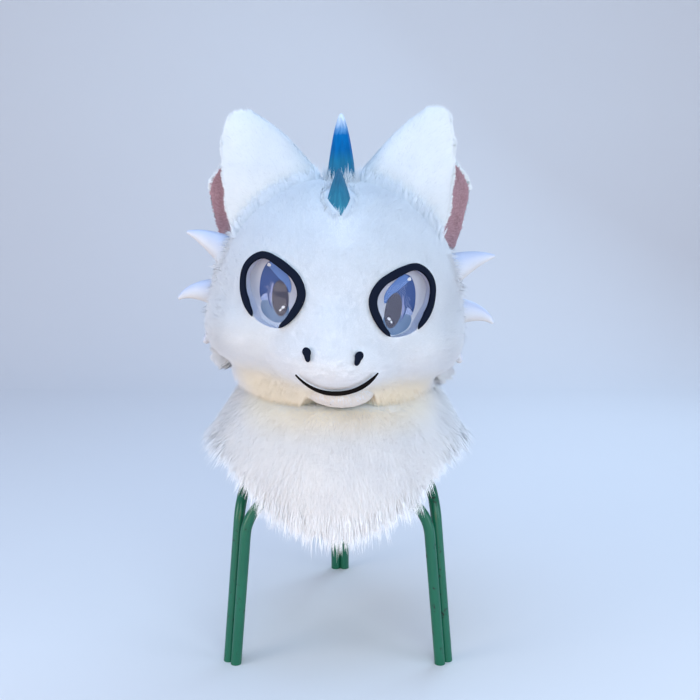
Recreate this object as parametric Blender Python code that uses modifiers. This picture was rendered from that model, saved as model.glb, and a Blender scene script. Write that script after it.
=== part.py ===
"""Fursuit head of a white horned creature, set on a low three-legged tube stand.

Metres, +Z up, the face looks towards -Y and the feet stand on z = 0.
Left is the wearer's left, which is +X.
"""
import math
from collections import namedtuple

import bmesh
import bpy
from mathutils import Matrix, Vector

MM = 0.001

# How the head sits
HEAD_HEIGHT = 440 * MM
HEAD_SHIFT_X = -1.5 * MM
HEAD_ROLL = math.radians(4.5)
SEAT_GAP = 0.3 * MM
SIDES = {"left": 1, "right": -1}

# Foam blocks that make the head, in the head's own frame
Block = namedtuple("Block", "centre radii")
FOAM_BLOCKS = [
    Block((0, 10, 15), (150, 150, 140)),
    Block((84, -33, -29), (64, 84, 48)),
    Block((-84, -33, -29), (64, 84, 48)),
    Block((0, -95, -15), (48, 62, 45)),
    Block((0, -95, -44), (72, 82, 42)),
    Block((12, 5, -140), (101, 110, 200)),
]
BLEND = 12 * MM
FORM_CENTRE = Vector((0, 0, -10)) * MM
FORM_REACH = 420 * MM
FORM_AROUND = 40
FORM_DOWN = 26
FRONT_DENSITY = 0.42

# Hollow of the head
CAVITY = Block((0, 14, 12), (108, 126, 126))
NECK_HOLE = (86 * MM, 96 * MM)
NECK_CENTRE_Y = 5 * MM
NECK_HOLE_BOTTOM = 165 * MM
NECK_HOLE_TOP = 380 * MM

# Stand
TUBE_RADIUS = 6.7 * MM
TUBE_BITE = 0.5 * MM
STAND_TOP = 235 * MM
RING_OUTER = 128 * MM
RING_INNER = 84 * MM
RING_THICKNESS = 4 * MM
FOOT_FRONT = Vector((127, -85, 0)) * MM
SHOULDER_FRONT_X = 107 * MM
BEND_FRONT = 60 * MM
BEND_SIDE = 85 * MM
PAIR_OFFSET = Vector((9.6, 8.6, 0)) * MM
SIDE_SHOULDER = Vector((117, -71)) * MM
SIDE_MIDDLE = Vector((96, 66)) * MM
BACK_SHOULDER_Y = 172 * MM
BACK_FOOT_Y = 210 * MM
BELOW_FLOOR = 20 * MM

# Eyes, in the plane of each eye: u points outwards, v upwards
EYE_X = 77 * MM
EYE_Z = 29 * MM
EYE_YAW = math.radians(30)
EYE_PITCH = math.radians(9)
EYE_STEP = 30
EYE_RADII = [43.5, 50.5, 48.0, 39.0, 36.5, 40.5, 45.5, 45.5, 45.0, 40.0, 36.8, 38.0]
RIM_WIDTH = 7 * MM
RIM_HEIGHT = 3 * MM
RIM_LIFT = 0.9 * MM
RIM_START = math.radians(-57)
RIM_END = math.radians(251)
RIM_SECTIONS = 28
POCKET_DEPTH = 18 * MM
LEDGE_SCALE = 0.82
TUNNEL_START = 12 * MM
TUNNEL_REACH = 105 * MM
PLATE_THICKNESS = 1.5 * MM
LENS_THICKNESS = 1.5 * MM
LENS_CROWN = 3.5 * MM

# Muzzle details, in the head's own frame
NOSTRIL_X = 28.5 * MM
NOSTRIL_Z = -28 * MM
NOSTRIL_RADIUS = 4.9 * MM
NOSTRIL_TAIL = Vector((-2.6, -10)) * MM
MOUTH_X = 6 * MM
MOUTH_HALF = 44.5 * MM
MOUTH_LOW_Z = -73 * MM
MOUTH_RISE = 20.5 * MM
MOUTH_CURVE = 2.1
MOUTH_THICK = 3.2 * MM
MOUTH_SECTIONS = 14
JAW = Block((9.5, -110, -79), (42, 50, 20))

# Ears: one row for each height, outline widths measured outwards from the head's middle
EarLevel = namedtuple("EarLevel", "height inner front rear depth")
EAR_LEVELS = [
    EarLevel(465, 40, 104, 128, 70),
    EarLevel(505, 30, 114, 149, 70),
    EarLevel(545, 22, 131, 160, 66),
    EarLevel(585, 21, 136, 166, 58),
    EarLevel(603, 30, 138, 160, 52),
    EarLevel(617, 42, 138, 147, 45),
    EarLevel(637, 60, 138, 138, 35),
    EarLevel(656, 79, 136, 135, 25),
    EarLevel(669, 95, 133, 131, 17),
    EarLevel(678, 107, 127, 125, 9),
]
EAR_MIDDLE_Y = 25 * MM
EAR_TIP_Y = 18 * MM
EAR_BEND_WALL = 12 * MM
EAR_WALL = 9 * MM
EAR_WALL_SHARE = 0.3
EAR_CENTRE_X = 2 * MM
EAR_TIP_TRIM = {"left": 0 * MM, "right": 8 * MM}
EAR_TRIM_FROM = 640 * MM
EAR_ARC_POINTS = 9
EAR_EDGE = 0.5 * MM
LINING_THICKNESS = 2 * MM
LINING_LEVELS = slice(1, 8)
LINING_FRONT_SETBACK = 0.2
LINING_REAR_SETBACK = 0.06

# Horns stand upright although the head leans
HORN_LARGE_BASE = Vector((4.5, -5, 574)) * MM
HORN_LARGE_HEIGHT = 96 * MM
HORN_LARGE_RADIUS = 17.2 * MM
HORN_TAPER_LENGTH = 73 * MM
HORN_TAPER = 0.56
HORN_SMALL_BASE = Vector((2.5, -62, 556)) * MM
HORN_SMALL_TIP = Vector((2, -67, 608)) * MM
HORN_SMALL_HALF = (18 * MM, 29 * MM)
HORN_SMALL_RIDGE = math.radians(5)

# Cheek spikes, in the head's own frame
Spike = namedtuple("Spike", "name root bend tip root_half tip_half")
SPIKES = [
    Spike("upper", (120, 0, 42), (160, 2, 68), (188, 5, 75), 24, 2.2),
    Spike("middle", (138, 0, 3), (178, 3, 8), (195, 6, -9), 18, 2.4),
    Spike("lower", (128, 0, -30), (151, 2, -45), (159, 4, -60), 14, 4.6),
]
SPIKE_FLATNESS = 0.72
SPIKE_SECTIONS = 7
SPIKE_SIDES = 10

# Neck skirt, a cloth dome that hangs lower in front
BIB_TOP = 322 * MM
BIB_SIDE_RISE = 22 * MM
BIB_WALL = 3 * MM
NECK_BITE = 2 * MM
BIB_HALF_WIDTH = 145 * MM
BIB_FRONT = 156 * MM
BIB_BACK = 142 * MM
BIB_SIDE_EDGE = 280 * MM
BIB_FRONT_DROP = 76 * MM
BIB_BACK_DROP = 14 * MM
BIB_DROP_SPREAD = math.radians(72)
BIB_AROUND = 36
BIB_ROWS = 4
PILE_AROUND = 2 * BIB_AROUND
PILE_START = 0.09
PILE_DEPTH = 15 * MM
FUR_GAP = 1.1 * MM
LOCK_LENGTH = 26 * MM
LOCK_SHORT = 11 * MM
LOCK_RIDGE = 2.5 * MM
LOCK_LIFT = 5 * MM

# Fur locks under the cheeks, in the head's own frame
TUFT_TOP = Vector((140, -14, -66)) * MM
TUFT_BOTTOM = Vector((126, -30, -78)) * MM
TUFT_SECTIONS = 15
TUFT_WIDTH = 13 * MM
TUFT_LENGTH = 13 * MM
TUFT_SHORT = 6 * MM
TUFT_LIFT = 1 * MM

HEAD_MATRIX = Matrix.Translation((HEAD_SHIFT_X, 0, HEAD_HEIGHT)) @ Matrix.Rotation(HEAD_ROLL, 4, "Y")

COLOURS = {
    "white_fur": ((0.86, 0.87, 0.90), 0.95, 0.0),
    "pink_fur": ((0.40, 0.22, 0.24), 0.90, 0.0),
    "horn_blue": ((0.02, 0.16, 0.45), 0.35, 0.0),
    "horn_teal": ((0.03, 0.20, 0.26), 0.35, 0.0),
    "spike_white": ((0.83, 0.83, 0.80), 0.50, 0.0),
    "rim_black": ((0.012, 0.015, 0.03), 0.60, 0.0),
    "eye_print": ((0.12, 0.20, 0.50), 0.50, 0.0),
    "clear_lens": ((0.85, 0.90, 0.95), 0.05, 0.0),
    "bib_cloth": ((0.80, 0.80, 0.80), 0.90, 0.0),
    "green_paint": ((0.02, 0.17, 0.11), 0.35, 0.0),
}


def clear_scene():
    for item in list(bpy.data.objects):
        bpy.data.objects.remove(item, do_unlink=True)


def make_materials():
    made = {}
    for name, (colour, roughness, metallic) in COLOURS.items():
        material = bpy.data.materials.new(name)
        material.use_nodes = True
        shader = material.node_tree.nodes["Principled BSDF"]
        shader.inputs["Base Color"].default_value = (*colour, 1)
        shader.inputs["Roughness"].default_value = roughness
        shader.inputs["Metallic"].default_value = metallic
        made[name] = material
    return made


def new_collection(name):
    collection = bpy.data.collections.new(name)
    bpy.context.scene.collection.children.link(collection)
    return collection


def new_empty(name, parent, matrix):
    empty = bpy.data.objects.new(name, None)
    PARTS.objects.link(empty)
    empty.parent = parent
    empty.matrix_local = matrix
    return empty


def add_object(name, mesh, parent, material):
    piece = bpy.data.objects.new(name, mesh)
    PARTS.objects.link(piece)
    piece.parent = parent
    mesh.materials.append(MATERIALS[material])
    mesh.shade_smooth()
    mesh.set_sharp_from_angle(angle=math.radians(40))
    return piece


def add_cutter(name, mesh, parent):
    cutter = bpy.data.objects.new(name, mesh)
    CUTTERS.objects.link(cutter)
    cutter.parent = parent
    cutter.hide_render = True
    cutter.display_type = "WIRE"
    return cutter


def boolean(piece, other, operation="DIFFERENCE"):
    modifier = piece.modifiers.new(other.name, "BOOLEAN")
    modifier.operation = operation
    modifier.object = other


def loft(name, rings, closed=False):
    """Skin rings of equal point counts; a closed loft joins its last ring to its first."""
    mesh = bpy.data.meshes.new(name)
    shape = bmesh.new()
    rows = [[shape.verts.new(point) for point in ring] for ring in rings]
    count = len(rows[0])
    pairs = list(zip(rows, rows[1:]))
    if closed:
        pairs.append((rows[-1], rows[0]))
    for lower, upper in pairs:
        for i in range(count):
            j = (i + 1) % count
            shape.faces.new((lower[i], lower[j], upper[j], upper[i]))
    if not closed:
        shape.faces.new(reversed(rows[0]))
        shape.faces.new(rows[-1])
    bmesh.ops.recalc_face_normals(shape, faces=shape.faces)
    if shape.calc_volume(signed=True) < 0:
        bmesh.ops.reverse_faces(shape, faces=shape.faces)
    shape.to_mesh(mesh)
    shape.free()
    return mesh


def block_distance(point, block):
    """Approximate signed distance from a point to an ellipsoid block."""
    q = [(point[i] - block.centre[i] * MM) / (block.radii[i] * MM) for i in range(3)]
    scaled = [q[i] / (block.radii[i] * MM) for i in range(3)]
    length = math.sqrt(sum(value * value for value in q))
    slope = math.sqrt(sum(value * value for value in scaled))
    return length * (length - 1) / max(slope, 1e-9)


def form_value(point):
    """Smooth union of the foam blocks: below zero inside the head."""
    total = sum(math.exp(-block_distance(point, block) / BLEND) for block in FOAM_BLOCKS)
    return -BLEND * math.log(max(total, 1e-300))


def crossing(start, direction, inside, outside, growth=0.0):
    """Distance along a ray at which the head's surface lies, between two known distances."""
    for _ in range(28):
        middle = (inside + outside) / 2
        if form_value(start + direction * middle) < growth:
            inside = middle
        else:
            outside = middle
    return (inside + outside) / 2


def surface_hit(start, direction, growth=0.0, step=3 * MM):
    """First point where a ray from outside meets the head."""
    distance = 0.0
    while form_value(start + direction * distance) > growth and distance < FORM_REACH:
        distance += step
    return start + direction * crossing(start, direction, distance, distance - step, growth)


def surface_normal(point, step=0.5 * MM):
    slope = []
    for axis in ((1, 0, 0), (0, 1, 0), (0, 0, 1)):
        move = Vector(axis) * step
        slope.append(form_value(point + move) - form_value(point - move))
    return Vector(slope).normalized()


def head_form(name, growth=0.0):
    """A sphere whose points are pushed out to the head's surface, finer at the face."""
    mesh = bpy.data.meshes.new(name)
    shape = bmesh.new()
    bmesh.ops.create_uvsphere(shape, u_segments=FORM_AROUND, v_segments=FORM_DOWN, radius=1)
    for vert in shape.verts:
        around = math.atan2(vert.co.x, vert.co.y)
        around += FRONT_DENSITY * math.sin(around)
        flat = math.hypot(vert.co.x, vert.co.y)
        direction = Vector((flat * math.sin(around), flat * math.cos(around), vert.co.z)).normalized()
        reach = crossing(FORM_CENTRE, direction, 10 * MM, FORM_REACH, growth)
        vert.co = FORM_CENTRE + direction * reach
    bmesh.ops.triangulate(shape, faces=shape.faces, quad_method="FIXED")
    shape.to_mesh(mesh)
    shape.free()
    return mesh


def ellipsoid(name, block, around=20, down=12):
    mesh = bpy.data.meshes.new(name)
    shape = bmesh.new()
    bmesh.ops.create_uvsphere(shape, u_segments=around, v_segments=down, radius=1)
    for vert in shape.verts:
        vert.co = Vector([block.centre[i] * MM + vert.co[i] * block.radii[i] * MM for i in range(3)])
    shape.to_mesh(mesh)
    shape.free()
    return mesh


def cylinder(name, radii, bottom, top, sides=28):
    """An upright cylinder with an elliptical section."""
    mesh = bpy.data.meshes.new(name)
    shape = bmesh.new()
    bmesh.ops.create_cone(shape, cap_ends=True, segments=sides, radius1=1, radius2=1, depth=1)
    for vert in shape.verts:
        height = top if vert.co.z > 0 else bottom
        vert.co = Vector((vert.co.x * radii[0], vert.co.y * radii[1], height))
    shape.to_mesh(mesh)
    shape.free()
    return mesh


def eye_frame(side):
    """Centre and axes of an eye's plane: u outwards, v up, n out of the face."""
    n = Vector((side * math.sin(EYE_YAW) * math.cos(EYE_PITCH),
                -math.cos(EYE_YAW) * math.cos(EYE_PITCH), math.sin(EYE_PITCH)))
    u = Vector((side * math.cos(EYE_YAW), math.sin(EYE_YAW), 0))
    v = Vector((-side * math.sin(EYE_YAW) * math.sin(EYE_PITCH),
                math.cos(EYE_YAW) * math.sin(EYE_PITCH), math.cos(EYE_PITCH)))
    centre = surface_hit(Vector((side * EYE_X, -300 * MM, EYE_Z)), Vector((0, 1, 0)))
    return centre, u, v, n


def eye_radius(angle, inset=0.0):
    """Outer radius of the eye rim in a direction, on a smooth closed curve."""
    place = math.degrees(angle) / EYE_STEP
    first = math.floor(place)
    t = place - first
    count = len(EYE_RADII)
    a, b, c, d = (EYE_RADII[(first + k) % count] for k in (-1, 0, 1, 2))
    value = b + 0.5 * t * (c - a + t * (2 * a - 5 * b + 4 * c - d + t * (3 * (b - c) + d - a)))
    return value * MM - inset


def eye_point(frame, angle, radius, height):
    centre, u, v, n = frame
    return centre + u * (radius * math.cos(angle)) + v * (radius * math.sin(angle)) + n * height


def eye_surface_height(frame, angle, radius):
    """Height of the head's surface above the eye's plane."""
    lift = 60 * MM
    start = eye_point(frame, angle, radius, lift)
    hit = surface_hit(start, -frame[3], step=2 * MM)
    return lift - (start - hit).length


def eye_prism(name, frame, inset, scale, low, high, sides=24):
    rings = []
    for height in (low, high):
        angles = [math.tau * i / sides for i in range(sides)]
        rings.append([eye_point(frame, a, eye_radius(a, inset) * scale, height) for a in angles])
    return loft(name, rings)


def eye_rim(name, frame):
    rings = []
    for i in range(RIM_SECTIONS + 1):
        angle = RIM_START + (RIM_END - RIM_START) * i / RIM_SECTIONS
        outer = eye_radius(angle)
        inner = outer - RIM_WIDTH
        base_out = eye_surface_height(frame, angle, outer) + RIM_LIFT
        base_in = eye_surface_height(frame, angle, inner) + RIM_LIFT
        section = [(outer, base_out), (outer, base_out + 0.6 * RIM_HEIGHT),
                   (outer - 0.25 * RIM_WIDTH, base_out + RIM_HEIGHT),
                   (inner + 0.25 * RIM_WIDTH, base_in + RIM_HEIGHT),
                   (inner, base_in + 0.6 * RIM_HEIGHT), (inner, base_in)]
        rings.append([eye_point(frame, angle, radius, height) for radius, height in section])
    return loft(name, rings)


def eye_lens(name, frame, sides=24):
    """A thin dome that fills the rim, level with the face at its edge."""
    inset = RIM_WIDTH + SEAT_GAP
    angles = [math.tau * i / sides for i in range(sides)]
    edge = [eye_surface_height(frame, a, eye_radius(a, inset)) - 1 * MM for a in angles]
    level = sum(edge) / sides
    rings = []
    for shell in (0, LENS_THICKNESS):
        scales = (0.2, 0.6, 1.0) if shell == 0 else (1.0, 0.6, 0.2)
        for scale in scales:
            ring = []
            for a, rim in zip(angles, edge):
                height = level + (rim - level) * scale + LENS_CROWN * (1 - scale * scale) - shell
                ring.append(eye_point(frame, a, eye_radius(a, inset) * scale, height))
            rings.append(ring)
    return loft(name, rings)


def nostril(name, side):
    """A flat teardrop whose tail points down and inwards."""
    outline = []
    turns = 24
    tail = math.atan2(NOSTRIL_TAIL.y, NOSTRIL_TAIL.x)
    for i in range(turns):
        angle = math.tau * i / turns
        swing = math.cos(angle - tail)
        reach = NOSTRIL_RADIUS + (NOSTRIL_TAIL.length - NOSTRIL_RADIUS) * max(swing, 0) ** 9
        outline.append(Vector((reach * math.cos(angle), reach * math.sin(angle))))
    rings = []
    for scale, height in ((1.0, 2 * SEAT_GAP), (1.0, 1.4 * MM), (0.72, 2.4 * MM), (0.3, 2.8 * MM)):
        ring = []
        for point in outline:
            start = Vector((side * (NOSTRIL_X + point.x * scale), -300 * MM, NOSTRIL_Z + point.y * scale))
            hit = surface_hit(start, Vector((0, 1, 0)))
            ring.append(hit + surface_normal(hit) * height)
        rings.append(ring)
    return loft(name, rings)


def mouth_strip(name, growth=0.0):
    """A lip strip along the smile, level although the head leans, thickest in the middle."""
    sides = 6
    centres = []
    for i in range(MOUTH_SECTIONS + 1):
        share = 2 * i / MOUTH_SECTIONS - 1
        x = share * MOUTH_HALF
        height = MOUTH_LOW_Z + MOUTH_RISE * abs(share) ** MOUTH_CURVE + x * math.tan(HEAD_ROLL)
        hit = surface_hit(Vector((MOUTH_X + x, -300 * MM, height)), Vector((0, 1, 0)))
        centres.append((hit, surface_normal(hit), 1 - 0.7 * abs(share) ** 3))
    rings = []
    for i, (hit, normal, taper) in enumerate(centres):
        before = centres[max(i - 1, 0)][0]
        after = centres[min(i + 1, MOUTH_SECTIONS)][0]
        along = (after - before).normalized()
        across = along.cross(normal).normalized()
        deep = 0.8 * MOUTH_THICK * taper
        middle = hit + normal * (deep + 2 * SEAT_GAP)
        ring = []
        for k in range(sides):
            angle = math.tau * k / sides
            ring.append(middle + across * ((MOUTH_THICK * taper + growth) * math.cos(angle))
                        + normal * ((deep + growth) * math.sin(angle)))
        rings.append(ring)
    return loft(name, rings)


def ear_arc(level, side, name_side, inset_bend, inset_depth, setback):
    """Half an ellipse from the front flap's edge, round the bend, to the rear flap's edge."""
    height = level.height * MM
    lowest, highest = EAR_LEVELS[0].height * MM, EAR_LEVELS[-1].height * MM
    rise = (height - lowest) / (highest - lowest)
    middle_y = EAR_MIDDLE_Y + (EAR_TIP_Y - EAR_MIDDLE_Y) * rise
    trim = EAR_TIP_TRIM[name_side] * max(height - EAR_TRIM_FROM, 0) / (highest - EAR_TRIM_FROM)
    bend = level.inner * MM + inset_bend
    half = level.depth * MM / 2 - inset_depth
    points = []
    for i in range(EAR_ARC_POINTS):
        turn = math.pi * (i / (EAR_ARC_POINTS - 1) - 0.5)
        edge = (level.front if turn < 0 else level.rear) * MM - trim - setback
        out = bend + (edge - bend) * (1 - math.cos(turn))
        points.append(Vector((EAR_CENTRE_X + side * out, middle_y + half * math.sin(turn), height)))
    return points


def ear_wall(level):
    return min(EAR_WALL, level.depth * MM * EAR_WALL_SHARE)


def ear(name, side_name, side):
    rings = []
    for level in EAR_LEVELS:
        wall = ear_wall(level)
        bend = EAR_BEND_WALL * wall / EAR_WALL
        outer = ear_arc(level, side, side_name, 0, 0, 0)
        inner = ear_arc(level, side, side_name, bend, wall, EAR_EDGE)
        rings.append(outer + inner[::-1])
    return loft(name, rings)


def ear_lining(name, side_name, side):
    rings = []
    for level in EAR_LEVELS[LINING_LEVELS]:
        wall = ear_wall(level)
        bend = EAR_BEND_WALL * wall / EAR_WALL
        skin = wall + 2 * SEAT_GAP
        outer = ear_arc(level, side, side_name, bend + 3 * SEAT_GAP, skin, EAR_EDGE)
        inner = ear_arc(level, side, side_name, bend + LINING_THICKNESS + 3 * SEAT_GAP,
                        skin + LINING_THICKNESS, EAR_EDGE)
        for arc in (outer, inner):
            arc[0] = arc[0].lerp(arc[1], LINING_FRONT_SETBACK)
            arc[-1] = arc[-1].lerp(arc[-2], LINING_REAR_SETBACK)
        rings.append(outer + inner[::-1])
    return loft(name, rings)


def large_horn(name):
    """A turned bullet shape that narrows a little again at its foot."""
    mesh = bpy.data.meshes.new(name)
    shape = bmesh.new()
    steps = 7
    profile = [Vector((0, 0, HORN_LARGE_HEIGHT))]
    for i in range(1, steps + 1):
        drop = HORN_TAPER_LENGTH * (i / steps) ** 1.5
        radius = HORN_LARGE_RADIUS * (drop / HORN_TAPER_LENGTH) ** HORN_TAPER
        profile.append(Vector((radius, 0, HORN_LARGE_HEIGHT - drop)))
    profile.append(Vector((0.84 * HORN_LARGE_RADIUS, 0, 0)))
    profile.append(Vector((0, 0, 0)))
    verts = [shape.verts.new(point) for point in profile]
    for first, second in zip(verts, verts[1:]):
        shape.edges.new((first, second))
    shape.to_mesh(mesh)
    shape.free()
    return mesh


def small_horn(name):
    """A four-sided horn with gently bulging faces."""
    rings = []
    steps = 6
    for i in range(steps + 1):
        share = i / steps
        size = max((1 - share) ** 0.72, 0.03)
        middle = HORN_SMALL_BASE.lerp(HORN_SMALL_TIP, share)
        ring = []
        for k in range(4):
            angle = HORN_SMALL_RIDGE + math.pi / 2 * k - math.pi / 2
            reach = HORN_SMALL_HALF[1 - k % 2] * size
            ring.append(middle + Vector((math.cos(angle), math.sin(angle), 0)) * reach)
        rings.append(ring)
    return loft(name, rings)


def spike_mesh(name, spike, side):
    """A hooked thorn: elliptical sections along a bent line, round at its tip."""
    root, bend, tip = (Vector((side * x, y, z)) * MM for x, y, z in (spike.root, spike.bend, spike.tip))
    rings = []
    for i in range(SPIKE_SECTIONS + 1):
        t = i / SPIKE_SECTIONS
        middle = root * (1 - t) ** 2 + bend * (2 * t * (1 - t)) + tip * t * t
        along = ((bend - root) * (1 - t) + (tip - bend) * t).normalized()
        up = Vector((0, 1, 0)).cross(along).normalized() * -side
        half = (spike.tip_half + (spike.root_half - spike.tip_half) * (1 - t)) * MM
        ring = []
        for k in range(SPIKE_SIDES):
            angle = math.tau * k / SPIKE_SIDES
            ring.append(middle + up * (half * math.cos(angle))
                        + Vector((0, SPIKE_FLATNESS, 0)) * (half * math.sin(angle)))
        rings.append(ring)
    last = rings[-1]
    centre = sum(last, Vector()) / SPIKE_SIDES
    nose = along * spike.tip_half * MM
    rings.append([centre + (point - centre) * 0.6 + nose * 0.7 for point in last])
    rings.append([centre + (point - centre) * 0.15 + nose for point in last])
    return loft(name, rings)


def drop_share(angle):
    """One at the middle of the front or back panel, fading to zero at the sides."""
    return math.cos(min(abs(angle), BIB_DROP_SPREAD) / BIB_DROP_SPREAD * math.pi / 2) ** 2


def bib_edge_height(around):
    """Height of the skirt's lower edge; 'around' is zero at the front."""
    behind = math.pi - abs(around)
    return BIB_SIDE_EDGE - BIB_FRONT_DROP * drop_share(around) - BIB_BACK_DROP * drop_share(behind)


def bib_point(around, t):
    """A point on the skirt's outer face, from the neck (t = 0) to the edge (t = 1)."""
    out = Vector((math.sin(around), -math.cos(around), 0))
    dome = drop_share(around)
    top = Vector((0, NECK_CENTRE_Y, BIB_TOP + BIB_SIDE_RISE * (1 - dome)))
    start = HEAD_MATRIX.inverted() @ top
    local = HEAD_MATRIX.to_3x3().inverted() @ out
    neck = crossing(start, local, 40 * MM, 135 * MM) - NECK_BITE
    depth = BIB_FRONT if abs(around) < math.pi / 2 else BIB_BACK
    edge = 1 / math.hypot(out.x / BIB_HALF_WIDTH, out.y / (depth + NECK_CENTRE_Y * (1 if out.y < 0 else -1)))
    reach = neck + (edge - neck) * (dome * math.sin(t * math.pi / 2) + (1 - dome) * t)
    fall = dome * (1 - math.cos(t * math.pi / 2)) + (1 - dome) * t
    drop = (top.z - bib_edge_height(around)) * fall
    return top + out * reach - Vector((0, 0, drop))


def bib_normal(around, t):
    step = 0.01
    across = bib_point(around + step, t) - bib_point(around - step, t)
    down = bib_point(around, min(t + step, 1)) - bib_point(around, max(t - step, 0))
    return across.cross(down).normalized() * -1


def bib_cloth(name):
    rings = []
    for i in range(BIB_AROUND):
        around = math.tau * i / BIB_AROUND - math.pi
        outer = []
        inner = []
        for row in range(BIB_ROWS + 1):
            t = row / BIB_ROWS
            point = bib_point(around, t)
            outer.append(point)
            inner.append(point - bib_normal(around, t) * BIB_WALL)
        rings.append(outer + inner[::-1])
    return loft(name, rings, closed=True)


def lock_pattern(i):
    """Uneven lengths, long and short in turn, that repeat nowhere nearby."""
    return 0.5 + 0.5 * math.sin(i * 2.4) * math.cos(i * 0.77)


def bib_fur(name):
    """Deep fur as one ridged layer over the cloth, whose locks hang below the edge."""
    rings = []
    for i in range(PILE_AROUND):
        around = math.tau * i / PILE_AROUND - math.pi
        tip = i % 2
        ridge = LOCK_RIDGE if tip else -LOCK_RIDGE
        length = LOCK_SHORT
        if tip:
            length += (LOCK_LENGTH - LOCK_SHORT) * (0.45 + 0.55 * lock_pattern(i))
        outer = []
        inner = []
        for row in range(BIB_ROWS + 1):
            t = max(row / BIB_ROWS, PILE_START)
            point = bib_point(around, t)
            normal = bib_normal(around, t)
            swell = 0.5 + 0.5 * math.sin(min(t, 0.7) / 0.7 * math.pi / 2)
            depth = PILE_DEPTH * swell + ridge * t
            outer.append(point + normal * depth)
            inner.append(point + normal * FUR_GAP)
        edge = bib_point(around, 1)
        hang = (edge - bib_point(around, 0.9)).normalized() * length
        rings.append(outer + [edge + bib_normal(around, 1) * LOCK_LIFT + hang] + inner[::-1])
    return loft(name, rings, closed=True)


def cheek_tuft(name, side):
    """Locks fused to a narrow backing that follows the underside of the cheek."""
    rings = []
    for i in range(TUFT_SECTIONS):
        share = i / (TUFT_SECTIONS - 1)
        guide = TUFT_TOP.lerp(TUFT_BOTTOM, share)
        guide = Vector((side * guide.x, guide.y, guide.z))
        out = (guide - Vector((side * 70 * MM, -10 * MM, -30 * MM))).normalized()
        base = surface_hit(guide + out * 60 * MM, -out)
        normal = surface_normal(base)
        down = Vector((side * 0.35, 0, -1))
        down = (down - normal * normal.dot(down)).normalized()
        fade = math.sin(math.pi * (0.08 + 0.84 * share))
        length = TUFT_SHORT + (i % 2) * (TUFT_LENGTH - TUFT_SHORT) * (0.6 + 0.4 * lock_pattern(i))
        high = surface_hit(base - down * TUFT_WIDTH / 2 + normal * 30 * MM, -normal)
        low = surface_hit(base + down * TUFT_WIDTH / 2 + normal * 30 * MM, -normal)
        rings.append([high + normal * TUFT_LIFT, high + normal * (TUFT_LIFT + 2 * MM),
                      base + normal * (TUFT_LIFT + 6 * MM * fade),
                      low + normal * (3 * MM) + down * length * fade + normal * (4 * MM * fade),
                      low + normal * TUFT_LIFT])
    return loft(name, rings)


def rounded_path(corners, bend, steps=5):
    """A polyline with its inner corners rounded to the given bend radius."""
    path = [corners[0]]
    for before, corner, after in zip(corners, corners[1:], corners[2:]):
        towards = (before - corner).normalized()
        onwards = (after - corner).normalized()
        half = towards.angle(onwards) / 2
        tangent = bend / math.tan(half)
        middle = corner + (towards + onwards).normalized() * (bend / math.sin(half))
        first = corner + towards * tangent - middle
        last = corner + onwards * tangent - middle
        turn = first.angle(last)
        for i in range(steps + 1):
            share = i / steps
            weight_a = math.sin((1 - share) * turn) / math.sin(turn)
            weight_b = math.sin(share * turn) / math.sin(turn)
            path.append(middle + first * weight_a + last * weight_b)
    path.append(corners[-1])
    return path


def tube_mesh(name, path):
    """A tube along a polyline, with welded caps."""
    curve = bpy.data.curves.new(name, "CURVE")
    curve.dimensions = "3D"
    curve.bevel_depth = TUBE_RADIUS
    curve.bevel_resolution = 2
    curve.use_fill_caps = True
    spline = curve.splines.new("POLY")
    spline.points.add(len(path) - 1)
    for point, place in zip(spline.points, path):
        point.co = (*place, 1)
    holder = bpy.data.objects.new(name, curve)
    CUTTERS.objects.link(holder)
    bpy.context.view_layer.update()
    graph = bpy.context.evaluated_depsgraph_get()
    mesh = bpy.data.meshes.new_from_object(holder.evaluated_get(graph))
    bpy.data.objects.remove(holder, do_unlink=True)
    shape = bmesh.new()
    shape.from_mesh(mesh)
    bmesh.ops.remove_doubles(shape, verts=shape.verts, dist=1e-6)
    bmesh.ops.recalc_face_normals(shape, faces=shape.faces)
    shape.to_mesh(mesh)
    shape.free()
    return mesh


def flip(point, side):
    return Vector((side * point.x, point.y, point.z))


def stand(name, parent):
    """Three hooped tubes and a flat ring, welded into one frame."""
    top = STAND_TOP - RING_THICKNESS - TUBE_RADIUS + TUBE_BITE
    shoulder = Vector((SHOULDER_FRONT_X, FOOT_FRONT.y, top))
    foot = FOOT_FRONT + (FOOT_FRONT - shoulder) * (BELOW_FLOOR / top)
    front = rounded_path([flip(foot, -1), flip(shoulder, -1), shoulder, foot], BEND_FRONT)
    ring = cylinder("ring", (RING_OUTER, RING_OUTER), STAND_TOP - RING_THICKNESS, STAND_TOP, 40)
    frame = add_object(name, ring, parent, "green_paint")
    hole = cylinder("ring_hole", (RING_INNER, RING_INNER), STAND_TOP - 2 * RING_THICKNESS,
                    STAND_TOP + RING_THICKNESS, 40)
    boolean(frame, add_cutter("ring_hole", hole, parent))
    boolean(frame, add_cutter("hoop_front", tube_mesh("hoop_front", front), parent), "UNION")
    for side_name, side in SIDES.items():
        start = FOOT_FRONT + PAIR_OFFSET
        corner = Vector((*SIDE_SHOULDER, top))
        start = start + (start - corner) * (BELOW_FLOOR / top)
        back = Vector((TUBE_RADIUS - TUBE_BITE / 2, BACK_SHOULDER_Y, top))
        end = Vector((back.x, BACK_FOOT_Y, 0))
        end = end + (end - back) * (BELOW_FLOOR / top)
        corners = [start, corner, Vector((*SIDE_MIDDLE, top)), back, end]
        hoop = rounded_path([flip(point, side) for point in corners], BEND_SIDE / 2)
        hoop_name = "hoop_" + side_name
        boolean(frame, add_cutter(hoop_name, tube_mesh(hoop_name, hoop), parent), "UNION")
    ground = cylinder("ground", (400 * MM, 400 * MM), -60 * MM, 0, 8)
    boolean(frame, add_cutter("ground", ground, parent))


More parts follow.
